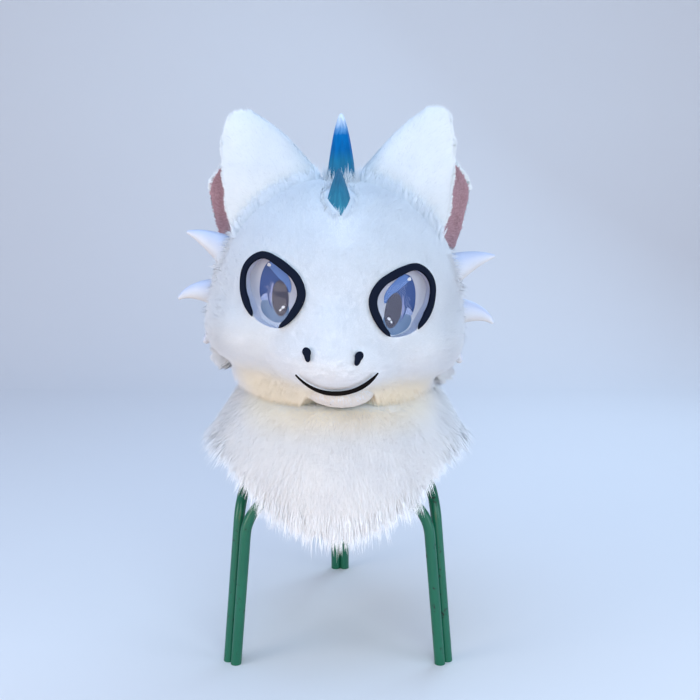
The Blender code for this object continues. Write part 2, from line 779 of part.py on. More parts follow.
def centre_on_floor(root):
    """Move everything so that the box around all parts has its bottom centre at the origin."""
    bpy.context.view_layer.update()
    graph = bpy.context.evaluated_depsgraph_get()
    low = Vector((1e9, 1e9, 1e9))
    high = -low
    for piece in PARTS.objects:
        if piece.type != "MESH":
            continue
        done = piece.evaluated_get(graph)
        for vert in done.data.vertices:
            place = done.matrix_world @ vert.co
            low = Vector([min(a, b) for a, b in zip(low, place)])
            high = Vector([max(a, b) for a, b in zip(high, place)])
    root.location = (-(low.x + high.x) / 2, -(low.y + high.y) / 2, -low.z)
    bpy.context.view_layer.update()


clear_scene()
MATERIALS = make_materials()
PARTS = new_collection("fursuit_head")
CUTTERS = new_collection("cutters")
ROOT = new_empty("fursuit_head", None, Matrix())
HEAD = new_empty("head_frame", ROOT, HEAD_MATRIX)

FORM_CUTTER = add_cutter("head_form_grown", head_form("head_form_grown", 1.6 * SEAT_GAP), HEAD)


def build_head_shell():
    shell = add_object("head_shell", head_form("head_shell"), HEAD, "white_fur")
    cavity = add_cutter("cavity", ellipsoid("cavity", CAVITY), HEAD)
    neck = cylinder("neck_hole", NECK_HOLE, NECK_HOLE_BOTTOM, NECK_HOLE_TOP)
    neck_hole = add_cutter("neck_hole", neck, ROOT)
    neck_hole.location.y = NECK_CENTRE_Y
    boolean(cavity, neck_hole, "UNION")
    boolean(shell, cavity)
    for side_name, side in SIDES.items():
        frame = eye_frame(side)
        pocket = eye_prism("eye_pocket_" + side_name, frame, RIM_WIDTH, 1.0, -POCKET_DEPTH, 40 * MM)
        tunnel = eye_prism("eye_tunnel_" + side_name, frame, RIM_WIDTH, LEDGE_SCALE,
                           -TUNNEL_REACH, -TUNNEL_START)
        boolean(shell, add_cutter("eye_pocket_" + side_name, pocket, HEAD))
        boolean(shell, add_cutter("eye_tunnel_" + side_name, tunnel, HEAD))
    below = cylinder("below_ring", (300 * MM, 300 * MM), 0, STAND_TOP + SEAT_GAP, 8)
    boolean(shell, add_cutter("below_ring", below, ROOT))


def build_face():
    for side_name, side in SIDES.items():
        frame = eye_frame(side)
        add_object("eye_rim_" + side_name, eye_rim("eye_rim", frame), HEAD, "rim_black")
        plate = eye_prism("eye_plate", frame, RIM_WIDTH + SEAT_GAP, 1.0, SEAT_GAP - POCKET_DEPTH,
                          SEAT_GAP - POCKET_DEPTH + PLATE_THICKNESS)
        add_object("eye_plate_" + side_name, plate, HEAD, "eye_print")
        add_object("eye_lens_" + side_name, eye_lens("eye_lens", frame), HEAD, "clear_lens")
        add_object("nostril_" + side_name, nostril("nostril", side), HEAD, "rim_black")
    add_object("mouth_line", mouth_strip("mouth_line"), HEAD, "rim_black")
    jaw = add_object("lower_jaw", ellipsoid("lower_jaw", JAW, 20, 12), HEAD, "white_fur")
    boolean(jaw, FORM_CUTTER)
    boolean(jaw, add_cutter("mouth_room", mouth_strip("mouth_room", SEAT_GAP), HEAD))


def build_ears():
    for side_name, side in SIDES.items():
        flap = add_object("ear_" + side_name, ear("ear", side_name, side), ROOT, "white_fur")
        boolean(flap, FORM_CUTTER)
        lining = ear_lining("ear_lining", side_name, side)
        lining = add_object("ear_lining_" + side_name, lining, ROOT, "pink_fur")
        boolean(lining, FORM_CUTTER)


def build_horns():
    tall = add_object("horn_large", large_horn("horn_large"), ROOT, "horn_blue")
    tall.location = HORN_LARGE_BASE
    turn = tall.modifiers.new("turn", "SCREW")
    turn.steps = 16
    turn.render_steps = 16
    turn.use_merge_vertices = True
    turn.merge_threshold = 1e-5
    boolean(tall, FORM_CUTTER)
    boolean(add_object("horn_small", small_horn("horn_small"), ROOT, "horn_teal"), FORM_CUTTER)


def build_spikes():
    for side_name, side in SIDES.items():
        for spike in SPIKES:
            name = f"cheek_spike_{spike.name}_{side_name}"
            boolean(add_object(name, spike_mesh(name, spike, side), HEAD, "spike_white"), FORM_CUTTER)


def build_fur():
    boolean(add_object("neck_bib", bib_cloth("neck_bib"), ROOT, "bib_cloth"), FORM_CUTTER)
    add_object("bib_pile", bib_fur("bib_pile"), ROOT, "white_fur")
    for side_name, side in SIDES.items():
        name = "cheek_tuft_" + side_name
        add_object(name, cheek_tuft(name, side), HEAD, "white_fur")


build_head_shell()
build_face()
build_ears()
build_horns()
build_spikes()
build_fur()
stand("stand_frame", ROOT)
centre_on_floor(ROOT)
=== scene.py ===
"""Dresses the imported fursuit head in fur, printed eyes, resin horns and painted tubes.

Metres, +Z up, the face looks towards -Y. Left is the wearer's left, which is +X.
The shapes repeat the named sizes of the part's source, with more points.
"""
import math
from collections import namedtuple

import bmesh
import bpy
import numpy as np
from mathutils import Matrix, Vector
from mathutils.kdtree import KDTree


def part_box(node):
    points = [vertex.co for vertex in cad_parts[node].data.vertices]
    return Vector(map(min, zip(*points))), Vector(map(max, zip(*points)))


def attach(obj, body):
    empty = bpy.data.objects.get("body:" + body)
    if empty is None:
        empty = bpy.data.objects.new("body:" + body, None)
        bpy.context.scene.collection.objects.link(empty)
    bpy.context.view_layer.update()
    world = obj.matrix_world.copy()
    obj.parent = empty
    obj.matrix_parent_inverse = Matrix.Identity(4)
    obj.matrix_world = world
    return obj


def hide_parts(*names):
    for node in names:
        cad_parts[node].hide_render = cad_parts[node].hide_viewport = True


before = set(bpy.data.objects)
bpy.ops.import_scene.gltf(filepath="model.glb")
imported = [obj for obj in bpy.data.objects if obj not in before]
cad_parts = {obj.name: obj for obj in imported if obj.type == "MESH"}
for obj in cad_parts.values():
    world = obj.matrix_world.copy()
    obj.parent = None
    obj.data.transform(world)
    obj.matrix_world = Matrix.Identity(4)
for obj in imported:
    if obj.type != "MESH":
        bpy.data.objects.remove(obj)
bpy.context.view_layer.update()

MM = 0.001
SIDES = {"left": 1, "right": -1}
SEED = 7
COLLAR_SEED = 41
# Farther than any distance that matters
FAR = 1.0

# Numbers of hairs, or of places tried for them
HEAD_HAIRS = 400000
EAR_HAIRS = 90000
SEAM_HAIRS = 5200
PINK_HAIRS = 11000
BIB_HAIRS = 280000
HEM_HAIRS = 12000
TUFT_HAIRS = 12000
COLLAR_ROOTS = 150000
FRINGE_ROOTS = 60000
JAW_HAIRS = 9000

# How far single hairs stray from the given length, width, lean and turn
LENGTH_SPREAD = (0.72, 1.18)
WIDTH_SPREAD = (0.75, 1.25)
LEAN_SPREAD = 0.06
TWIST_SPREAD = 0.45
MOST_LEAN = 0.97
# Share of a hair's lean that it has at its root
ROOT_LEAN = 0.55

# How the head sits
HEAD_HEIGHT = 440 * MM
HEAD_SHIFT_X = -1.5 * MM
HEAD_ROLL = math.radians(4.5)

# Foam blocks that make the head, in the head's own frame
Block = namedtuple("Block", "centre radii")
FOAM_BLOCKS = [
    Block((0, 10, 15), (150, 150, 140)),
    Block((84, -33, -29), (64, 84, 48)),
    Block((-84, -33, -29), (64, 84, 48)),
    Block((0, -95, -15), (48, 62, 45)),
    Block((0, -95, -44), (72, 82, 42)),
    Block((12, 5, -140), (101, 110, 200)),
]
BLEND = 12 * MM
FORM_CENTRE = np.array((0, 0, -10)) * MM
FORM_REACH = 420 * MM
FAR_AHEAD = 300 * MM
# The angle left open at the poles of a skin
POLE_GAP = 0.02
# The fur lies back from here
COMB_FROM = np.array((0, -190, -38)) * MM
# Behind this the fur is long, and in front of this lie mouth and nose
FACE_BACK_Y = 15 * MM
MUZZLE_Y = -90 * MM
SKIN_AROUND = 128
SKIN_DOWN = 88
SKIN_DEPTH = 2.2 * MM
CAVITY = Block((0, 14, 12), (108, 126, 126))
NECK_HOLE = (86 * MM, 96 * MM)
NECK_CENTRE_Y = 5 * MM
NECK_HOLE_BOTTOM = 165 * MM
NECK_HOLE_TOP = 380 * MM

# Stand
TUBE_RADIUS = 6.7 * MM
TUBE_BITE = 0.5 * MM
STAND_TOP = 235 * MM
RING_OUTER = 128 * MM
RING_INNER = 84 * MM
RING_THICKNESS = 4 * MM
RING_EDGE = 0.8 * MM
FOOT_FRONT = Vector((127, -85, 0)) * MM
SHOULDER_FRONT_X = 107 * MM
BEND_FRONT = 60 * MM
BEND_SIDE = 85 * MM
PAIR_OFFSET = Vector((9.6, 8.6, 0)) * MM
SIDE_SHOULDER = Vector((117, -71)) * MM
SIDE_MIDDLE = Vector((96, 66)) * MM
BACK_SHOULDER_Y = 172 * MM
BACK_FOOT_Y = 210 * MM

# Eyes, in the plane of each eye: u points outwards, v upwards
EYE_X = 77 * MM
EYE_Z = 29 * MM
EYE_YAW = math.radians(30)
EYE_PITCH = math.radians(9)
EYE_STEP = 30
EYE_RADII = np.array([43.5, 50.5, 48.0, 39.0, 36.5, 40.5, 45.5, 45.5, 45.0, 40.0, 36.8, 38.0]) * MM
RIM_WIDTH = 7 * MM
RIM_COVER = 1.8 * MM
RIM_HEIGHT = 3 * MM
RIM_LIFT = 0.9 * MM
RIM_START = math.radians(-62)
RIM_END = math.radians(243)
# Degrees from the rim's end, and the share of its full width there
RIM_TAPER = ((-4, 0, 3, 8, 35), (0.06, 0.10, 0.38, 0.60, 1.0))
RIM_SECTIONS = 180
# The rim's cross-section: place from its outer to its inner edge, and share of its height
RIM_PROFILE = ((0, 0), (-0.02, 0.55), (0.06, 0.82), (0.2, 0.97), (0.5, 1.03), (0.8, 0.97),
               (0.94, 0.82), (1.02, 0.55), (1, 0))
# How deep rims and lenses sit in the head
EYE_BED = 1 * MM
# Heights between which the print changes its tone
PRINT_FOOT = 400 * MM
LID_SHADE_FROM = 420 * MM
PRINT_TOP = 520 * MM
PRINT_GRAIN = 1400
POCKET_DEPTH = 18 * MM
LEDGE_SCALE = 0.82
TUNNEL_START = 12 * MM
TUNNEL_REACH = 105 * MM
PLATE_THICKNESS = 1.5 * MM
LENS_THICKNESS = 1.5 * MM
LENS_CROWN = 3.5 * MM

# Muzzle details, in the head's own frame
NOSTRIL_X = 28.5 * MM
NOSTRIL_Z = -28 * MM
NOSTRIL_RADIUS = 4.6 * MM
NOSTRIL_TAIL = Vector((-2.6, -10)) * MM
# Scale of the outline, and height over the fur's skin in mm
NOSTRIL_PROFILE = ((1.0, 0), (1.0, 1.4), (0.9, 2.2), (0.72, 2.6), (0.45, 2.8), (0.2, 2.85))
MOUTH_X = 6 * MM
MOUTH_HALF = 44.5 * MM
MOUTH_LOW_Z = -71.5 * MM
MOUTH_RISE = 20.5 * MM
MOUTH_CURVE = 2.1
# Places along the mouth from -1 to 1, and the line's half width there in mm
MOUTH_WIDTHS = ((-1, -0.8, -0.6, -0.4, -0.2, 0.6, 0.75, 0.88, 1),
                (0.6, 1.2, 1.8, 2.4, 2.9, 2.9, 2.6, 1.8, 0.5))
JAW = Block((9.5, -110, -79), (42, 50, 20))

# Ears: height, then where the bend, the front edge and the rear edge lie outwards from the
# head's middle, and the depth from flap to flap
EAR_LEVELS = np.array([
    (465, 40, 104, 128, 70),
    (505, 30, 114, 149, 70),
    (545, 22, 131, 160, 66),
    (585, 21, 136, 162, 58),
    (603, 30, 138, 151, 52),
    (617, 42, 138, 139, 45),
    (637, 60, 138, 138, 35),
    (656, 79, 136, 135, 25),
    (669, 95, 133, 131, 17),
    (678, 107, 127, 125, 9),
]) * MM
EAR_COLUMNS = 33
EAR_MIDDLE_Y = 25 * MM
EAR_TIP_Y = 18 * MM
EAR_BEND_WALL = 12 * MM
EAR_WALL = 9 * MM
EAR_WALL_SHARE = 0.3
EAR_CENTRE_X = 2 * MM
EAR_TIP_TRIM = {"left": 0 * MM, "right": 4 * MM}
EAR_TRIM_FROM = 640 * MM
LINING_THICKNESS = 2 * MM
LINING_LOW, LINING_HIGH = 490 * MM, 660 * MM
EAR_FRONT_SETBACK = {"left": 4 * MM, "right": 0.5 * MM}
EAR_REAR_SETBACK = 3 * MM
EAR_TOP_SETBACK = {"left": 2 * MM, "right": 6 * MM}
FRINGE_TOP = 676
FRINGE_ROWS = 60
# Hair on the flaps' edges: name, edge, lowest and highest place in mm, number, length in mm
FRINGES = (("front", 0, 500, 672, 4600, 7), ("rear", -1, 576, 606, 1500, 5),
           ("back", -1, EAR_LEVELS[0, 0] / MM, 674, 6500, 4))

# Horns stand upright although the head leans
HORN_LARGE_BASE = Vector((4.5, -5, 574)) * MM
HORN_LARGE_HEIGHT = 96 * MM
HORN_LARGE_RADIUS = 17.2 * MM
HORN_TAPER_LENGTH = 73 * MM
HORN_TAPER = 0.56
HORN_SMALL_BASE = Vector((2.5, -62, 556)) * MM
HORN_SMALL_TIP = Vector((2, -67, 608)) * MM
HORN_SMALL_HALF = (18 * MM, 29 * MM)
HORN_SMALL_RIDGE = math.radians(5)
# Its mean half width in mm, and how far the bare ring round it reaches
HORN_SMALL_MEAN = 14
HORN_SMALL_MARGIN = 3 * MM
CROWN_LEVEL = 520 * MM
# Wisps: horn, half widths of their ring in mm, number, rise and longest length in mm
WISPS = ((HORN_LARGE_BASE, (19, 19), 520, 1.0, 22), (HORN_SMALL_BASE, (19, 29), 340, 0.7, 15))

# Cheek spikes, in the head's own frame
Spike = namedtuple("Spike", "name root bend tip root_half tip_half")
SPIKES = [
    Spike("upper", (120, 0, 42), (160, 2, 70), (188, 5, 73), 25, 2.4),
    Spike("middle", (138, 0, 1), (178, 3, 7), (195, 6, -9), 20, 2.6),
    Spike("lower", (128, 0, -30), (151, 2, -45), (159, 4, -60), 14, 4.6),
]
SPIKE_FLATNESS = 0.72

# Neck skirt, a cloth dome that hangs lower in front
BIB_COLUMNS, BIB_ROWS = 144, 16
BIB_TOP = 322 * MM
BIB_SIDE_RISE = 22 * MM
BIB_WALL = 1.6 * MM
BIB_HALF_WIDTH = 145 * MM
BIB_FRONT = 156 * MM
BIB_BACK = 142 * MM
BIB_SIDE_EDGE = 280 * MM
BIB_FRONT_DROP = 76 * MM
BIB_BACK_DROP = 14 * MM
BIB_DROP_SPREAD = math.radians(72)

# The camera, fitted to the photograph's perspective
CAMERA_PLACE = Vector((15, -1320.5, 661.7)) * MM
CAMERA_TILT = math.radians(78)
CAMERA_LENS = 55.54

# Studio: the floor and its backdrop in metres, and the lights
FLOOR_FRONT_Y, FLOOR_BACK_Y = -2.6, 1.3
FLOOR_HALF = 3.6
FLOOR_BEND = 0.7
WALL_TOP = 3.4
AT_HEAD, AT_SKIRT, AT_THROAT = (0, 0, 0.43), (0, 0, 0.30), (0, -0.1, 0.34)
# Name, place, aim, width and height, power, colour
LIGHTS = (
    ("sky_softbox", (-0.25, -0.35, 1.75), AT_HEAD, (1.9, 1.6), 16.3, (0.33, 0.62, 1.0)),
    ("front_softbox", (0.5, -2.1, 1.0), AT_HEAD, (1.5, 1.3), 18.8, (0.78, 0.98, 0.97)),
    ("left_window", (-1.5, -0.9, 0.5), AT_SKIRT, (0.8, 1.0), 10.8, (1.0, 0.92, 0.84)),
    ("right_window", (1.5, -0.9, 0.5), AT_SKIRT, (0.8, 1.0), 8.2, (0.76, 0.84, 1.0)),
    ("warm_bounce", (0.0, -1.1, 0.12), AT_THROAT, (0.9, 0.4), 2.4, (1.0, 0.42, 0.12)),
    ("back_rim", (0.9, 1.2, 1.3), AT_HEAD, (1.0, 0.8), 10.9, (0.53, 0.76, 1.0)),
)
WORLD_COLOUR = (0.82, 0.81, 1.0, 1)
WORLD_STRENGTH = 0.445

STAND_LOW, STAND_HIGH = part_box("stand_frame")
SHIFT = Vector(((STAND_LOW.x + STAND_HIGH.x) / 2, STAND_LOW.y + RING_OUTER, 0))
ROW = Matrix.Translation(SHIFT)
HEAD = ROW @ Matrix.Translation((HEAD_SHIFT_X, 0, HEAD_HEIGHT)) @ Matrix.Rotation(HEAD_ROLL, 4, "Y")
DOWN_IN_HEAD = np.array(HEAD.to_3x3().inverted() @ Vector((0, 0, -1)))


# Arrays of points

def circle(count):
    """Angles round a full turn, without the last one."""
    return np.linspace(0, math.tau, count, endpoint=False)


def flat_ring(turn, across, deep, height=0.0):
    """A level ellipse, or points at different distances from its middle."""
    return np.stack([across * np.cos(turn), deep * np.sin(turn), height + 0 * turn], axis=1)


def hooked(start, handle, end, t):
    """A point on the curve from start to end that leans towards the handle."""
    return start * (1 - t) ** 2 + handle * (2 * t * (1 - t)) + end * t * t


def through(a, b, c, d, t):
    """A point on the smooth curve from b to c that also heeds a and d."""
    bend = 2 * a - 5 * b + 4 * c - d + t * (3 * (b - c) + d - a)
    return b + 0.5 * t * (c - a + t * bend)


def unit(vectors):
    return vectors / np.maximum(np.linalg.norm(vectors, axis=-1, keepdims=True), 1e-12)


def moved(points, matrix):
    turn = np.array(matrix.to_3x3())
    return np.asarray(points) @ turn.T + np.array(matrix.translation)


def turned(vectors, matrix):
    return np.asarray(vectors) @ np.array(matrix.to_3x3()).T


def smooth_step(value, low, high):
    t = np.clip((value - low) / (high - low), 0, 1)
    return t * t * (3 - 2 * t)


def ripple(points, size, turn=0.0):
    """A smooth pattern between -1 and 1 that wanders with the place."""
    x, y, z = (np.asarray(points) / size).T
    return (np.sin(x * 1.7 + 1.3 * np.sin(y * 1.1 + turn) + turn)
            + np.sin(y * 2.1 + 1.1 * np.sin(z * 1.4 + 2 * turn))
            + np.sin(z * 1.9 + 1.2 * np.sin(x * 1.3 + 3 * turn) + 2 * turn)) / 3


def wander(points, size, turns=(0.3, 1.7, 3.1)):
    """Vectors that wander with the place, one ripple for each axis."""
    return np.stack([ripple(points, size, turn) for turn in turns], axis=1)


# The head's form

def measures(block):
    """Centre and radii of a foam block, in metres."""
    return np.array(block.centre) * MM, np.array(block.radii) * MM


def form_value(points):
    """Smooth union of the foam blocks: below zero inside the head."""
    total = np.zeros(points.shape[:-1])
    for block in FOAM_BLOCKS:
        centre, radii = measures(block)
        q = (points - centre) / radii
        length = np.linalg.norm(q, axis=-1)
        slope = np.linalg.norm(q / radii, axis=-1)
        total += np.exp(-length * (length - 1) / np.maximum(slope, 1e-9) / BLEND)
    return -BLEND * np.log(np.maximum(total, 1e-300))


def form_normal(points, step=0.5 * MM):
    slope = [form_value(points + move) - form_value(points - move) for move in np.eye(3) * step]
    return unit(np.stack(slope, axis=-1))


def crossing(starts, directions, inside, outside, growth=0.0):
    """Distances along rays at which the head's surface lies, between two known distances."""
    inside = np.full(starts.shape[:-1], inside) if np.isscalar(inside) else inside.copy()
    outside = np.full(starts.shape[:-1], outside) if np.isscalar(outside) else outside.copy()
    for _ in range(30):
        middle = (inside + outside) / 2
        within = form_value(starts + directions * middle[..., None]) < growth
        inside = np.where(within, middle, inside)
        outside = np.where(within, outside, middle)
    return (inside + outside) / 2


def surface_hit(starts, directions, growth=0.0, step=3 * MM):
    """First points where rays from outside meet the head."""
    starts = np.atleast_2d(starts)
    directions = np.broadcast_to(directions, starts.shape)
    reach = np.zeros(len(starts))
    flying = np.ones(len(starts), bool)
    while flying.any() and reach.max() < FORM_REACH:
        flying &= form_value(starts + directions * reach[:, None]) > growth
        reach[flying] += step
    found = crossing(starts, directions, reach, reach - step, growth)
    return starts + directions * found[:, None]


def front_hit(x, z):
    """Points of the head's front at the given places across and up."""
    starts = np.stack([x, np.full_like(x, -FAR_AHEAD), z], axis=-1)
    return surface_hit(starts, np.array((0, 1.0, 0)))


# Meshes from rows of points

def grid_faces(rows, columns, closed_rows=False, closed_columns=True):
    faces = []
    last_row = rows if closed_rows else rows - 1
    last_column = columns if closed_columns else columns - 1
    for i in range(last_row):
        for j in range(last_column):
            a, b = i * columns, (i + 1) % rows * columns
            k = (j + 1) % columns
            faces.append((a + j, a + k, b + k, b + j))
    return faces


def loft(name, rings, closed_rows=False):
    """Skin rings of equal point counts, facing outwards; open rows get end caps."""
    rings = np.asarray(rings)
    rows, columns = rings.shape[:2]
    faces = grid_faces(rows, columns, closed_rows)
    if not closed_rows:
        faces.append(tuple(range(columns))[::-1])
        faces.append(tuple(range((rows - 1) * columns, rows * columns)))
    mesh = bpy.data.meshes.new(name)
    mesh.from_pydata(rings.reshape(-1, 3).tolist(), [], faces)
    shape = bmesh.new()
    shape.from_mesh(mesh)
    bmesh.ops.recalc_face_normals(shape, faces=shape.faces)
    if shape.calc_volume(signed=True) < 0:
        bmesh.ops.reverse_faces(shape, faces=shape.faces)
    shape.to_mesh(mesh)
    shape.free()
    return mesh


def linked(name, data):
    """A new object of the scene."""
    made = bpy.data.objects.new(name, data)
    bpy.context.scene.collection.objects.link(made)
    return made


def new_piece(name, mesh, paints, nodes=(), smooth_angle=40):
    """A piece of the part with the named paints."""
    piece = linked(name, mesh)
    for paint in paints:
        mesh.materials.append(PAINTS[paint])
    if smooth_angle:
        mesh.shade_smooth()
        mesh.set_sharp_from_angle(angle=math.radians(smooth_angle))
    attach(piece, "root")
    if nodes:
        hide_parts(*nodes)
    return piece


def cut(mesh, cutters):
    """The mesh less each cutter mesh, by exact booleans."""
    piece = linked("uncut", mesh)
    tools = []
    for cutter in cutters:
        tool = linked("cutter", cutter)
        tools.append(tool)
        modifier = piece.modifiers.new("cut", "BOOLEAN")
        modifier.operation = "DIFFERENCE"
        modifier.object = tool
        modifier.solver = "EXACT"
    bpy.context.view_layer.update()
    graph = bpy.context.evaluated_depsgraph_get()
    done = bpy.data.meshes.new_from_object(piece.evaluated_get(graph))
    for item in (piece, *tools):
        bpy.data.objects.remove(item, do_unlink=True)
    return done


def sphere_rings(around, down, shape):
    """Rings from pole to pole; shape turns unit directions into points."""
    polar = np.linspace(0, math.pi, down + 1)
    polar[0], polar[-1] = POLE_GAP, math.pi - POLE_GAP
    turn = circle(around)
    flat = np.sin(polar)[:, None]
    directions = np.stack([flat * np.cos(turn), flat * np.sin(turn),
                           np.cos(polar)[:, None] + 0 * turn], axis=-1)
    return shape(directions)


# Fur

Roots = namedtuple("Roots", "place normal facts")


def scatter(rings, count, rng, facts=None, closed_columns=True):
    """Random roots over a skin of rings, evenly by area; facts are numbers kept at each point."""
    rings = np.asarray(rings)
    rows, columns = rings.shape[:2]
    quads = np.array(grid_faces(rows, columns, False, closed_columns))
    corners = np.concatenate([quads[:, [0, 1, 2]], quads[:, [0, 2, 3]]])
    points = rings.reshape(-1, 3)
    a, b, c = (points[corners[:, k]] for k in range(3))
    normal = np.cross(b - a, c - a)
    area = np.linalg.norm(normal, axis=1)
    chosen = rng.choice(len(area), count, p=area / area.sum())
    s, t = np.sqrt(rng.random(count)), rng.random(count)
    weights = np.stack([1 - s, s * (1 - t), s * t], axis=1)
    place = sum(points[corners[chosen, k]] * weights[:, k, None] for k in range(3))
    kept = {}
    for key, value in (facts or {}).items():
        value = np.asarray(value).reshape(rows * columns, -1)
        kept[key] = sum(value[corners[chosen, k]] * weights[:, k, None] for k in range(3)).squeeze()
    return Roots(place, unit(normal[chosen]), kept)


def pick(roots, keep):
    facts = {key: value[keep] for key, value in roots.facts.items()}
    return Roots(roots.place[keep], roots.normal[keep], facts)


def head_roots(place, normal):
    """Roots given in the head's own frame."""
    return Roots(moved(place, HEAD), turned(normal, HEAD), {})


def clump_pull(place, tips, size, strength, rng):
    """Pulls hair tips together in locks about as wide as size."""
    cells = np.floor(place / size).astype(int)
    _, first = np.unique(cells, axis=0, return_index=True)
    guides = rng.permutation(first)
    tree = KDTree(len(guides))
    for i, g in enumerate(guides):
        tree.insert(place[g], i)
    tree.balance()
    near = np.array([tree.find(p)[1] for p in place])
    target = tips[guides[near]]
    return tips + (target - tips) * np.asarray(strength).reshape(-1, 1)


def ribbon_corners(count, bends, turned_round):
    """Corner lists and sizes of the faces of count ribbons, each with bends sections."""
    base = np.arange(count)[:, None] * (2 * bends + 1)
    faces = [(2 * k, 2 * k + 1, 2 * k + 3, 2 * k + 2) for k in range(bends - 1)]
    faces.append((2 * bends - 2, 2 * bends - 1, 2 * bends))
    corners, sizes = [], []
    for face in map(np.array, faces):
        corners.append(np.where(turned_round, base + face[::-1], base + face).ravel())
        sizes.append(np.full(count, len(face)))
    return np.concatenate(corners), np.concatenate(sizes)


def ribbon_mesh(name, verts, shades, normals, loops, sizes):
    """A mesh of loose faces with a hair's share of length and a shading normal at each point."""
    mesh = bpy.data.meshes.new(name)
    mesh.vertices.add(shades.size)
    mesh.vertices.foreach_set("co", verts.ravel())
    mesh.loops.add(len(loops))
    mesh.loops.foreach_set("vertex_index", loops.astype(np.int32))
    mesh.polygons.add(len(sizes))
    starts = np.concatenate([[0], np.cumsum(sizes)[:-1]])
    mesh.polygons.foreach_set("loop_start", starts.astype(np.int32))
    mesh.polygons.foreach_set("use_smooth", np.ones(len(sizes), bool))
    mesh.update(calc_edges=True)
    mesh.attributes.new("along", "FLOAT", "POINT").data.foreach_set("value", shades.ravel())
    mesh.normals_split_custom_set_from_vertices(normals.reshape(-1, 3))
    return mesh


def fur(name, roots, flow, length, width, lean, paint, rng, lock=0.0, lock_size=8 * MM,
        droop=0.0, bends=2, stray=0.25, soft=0.8, lit=None):
    """Tapered ribbons of hair, combed along flow; lean 0 stands up and 1 lies flat.

    The hair is shaded like the skin under it, or like a face that points along lit.
    """
    place, normal = roots.place, roots.normal
    count = len(place)
    length = np.broadcast_to(length, count) * rng.uniform(*LENGTH_SPREAD, count)
    lean = np.broadcast_to(lean, count) + rng.normal(0, LEAN_SPREAD, count)
    lean = np.clip(lean, 0, MOST_LEAN)
    width = np.broadcast_to(width, count) * rng.uniform(*WIDTH_SPREAD, count)
    flow = flow + rng.normal(0, 1, (count, 3)) * np.broadcast_to(stray, count)[:, None]
    flow = unit(flow - normal * np.sum(flow * normal, axis=1, keepdims=True))
    first_lean = ROOT_LEAN * lean
    start = unit(normal * (1 - first_lean)[:, None] + flow * first_lean[:, None])
    end = unit(normal * (1 - lean)[:, None] + flow * lean[:, None])
    end = unit(end + np.array((0, 0, -1)) * np.broadcast_to(droop, count)[:, None])
    tip = place + start * (0.4 * length)[:, None] + end * (0.6 * length)[:, None]
    if np.any(lock):
        tip = clump_pull(place, tip, lock_size, np.broadcast_to(lock, count), rng)
    handle = place + start * (0.5 * length)[:, None]
    joints = [place] + [hooked(place, handle, tip, k / bends) for k in range(1, bends + 1)]

    twist = rng.normal(0, TWIST_SPREAD, count)
    along = unit(joints[-1] - place)
    side = unit(np.cross(along, normal))
    side = side * np.cos(twist)[:, None] + normal * np.sin(twist)[:, None]
    face_normal = unit(np.cross(side, along))
    smooth = normal if lit is None else unit(lit)
    facing = np.where(np.sum(face_normal * smooth, axis=1, keepdims=True) < 0, -1, 1)
    face_normal *= facing

    verts = np.zeros((count, 2 * bends + 1, 3), np.float32)
    shades = np.ones(verts.shape[:2], np.float32)
    normals = np.zeros_like(verts)
    normals[:] = unit(smooth * soft + face_normal * (1 - soft))[:, None]
    for k in range(bends):
        half = width * 0.5 * (1 - 0.75 * (k / bends) ** 1.5)
        verts[:, 2 * k] = joints[k] - side * half[:, None]
        verts[:, 2 * k + 1] = joints[k] + side * half[:, None]
        shades[:, 2 * k:2 * k + 2] = k / bends
    verts[:, -1] = joints[-1]
    mesh = ribbon_mesh(name, verts, shades, normals, *ribbon_corners(count, bends, facing < 0))
    return new_piece(name, mesh, [paint], smooth_angle=0)


# Materials

def shader(name, roughness, **values):
    material = bpy.data.materials.new(name)
    material.use_nodes = True
    tree = material.node_tree
    base = tree.nodes["Principled BSDF"]
    base.inputs["Roughness"].default_value = roughness
    for key, value in values.items():
        base.inputs[key.replace("_", " ")].default_value = value
    return material, tree, base


def node(tree, kind, inputs=None, **settings):
    made = tree.nodes.new(kind)
    for key, value in settings.items():
        setattr(made, key, value)
    for key, value in (inputs or {}).items():
        if isinstance(value, bpy.types.NodeSocket):
            tree.links.new(value, made.inputs[key])
        else:
            made.inputs[key].default_value = value
    return made


def place_in(tree):
    return node(tree, "ShaderNodeTexCoord").outputs["Object"]


def noise(tree, scale, detail=3, roughness=0.5, vector=None):
    made = node(tree, "ShaderNodeTexNoise", {"Scale": scale, "Detail": detail,
                                             "Roughness": roughness,
                                             "Vector": vector or place_in(tree)})
    return made.outputs["Fac"]


def streaks_up(tree, scale, squeeze):
    """Noise that is drawn out along the height."""
    column = node(tree, "ShaderNodeMapping", {"Vector": place_in(tree), "Scale": (1, 1, squeeze)})
    return noise(tree, scale, 3, 0.6, column.outputs["Vector"])


def ramp(tree, value, stops):
    made = node(tree, "ShaderNodeValToRGB", {"Fac": value})
    points = made.color_ramp.elements
    while len(points) < len(stops):
        points.new(0.5)
    for point, (place, colour) in zip(points, stops):
        point.position = place
        point.color = (*colour, 1)
    return made.outputs["Color"]


def mix(tree, amount, first, second, kind="MIX"):
    made = tree.nodes.new("ShaderNodeMix")
    made.data_type = "RGBA"
    made.blend_type = kind
    slots = {"Factor": 0, "A": 6, "B": 7}
    for key, value in (("Factor", amount), ("A", first), ("B", second)):
        socket = made.inputs[slots[key]]
        if isinstance(value, bpy.types.NodeSocket):
            tree.links.new(value, socket)
        elif key == "Factor":
            socket.default_value = value
        else:
            socket.default_value = (*value, 1)
    return made.outputs[2]


def times(tree, first, second):
    return mix(tree, 1.0, first, second, "MULTIPLY")


def speckled(tree, tone, pattern, dark, low=0.3, high=0.7):
    """A tone that is a little darker where the pattern is low."""
    return times(tree, tone, ramp(tree, pattern, [(low, dark), (high, (1, 1, 1))]))


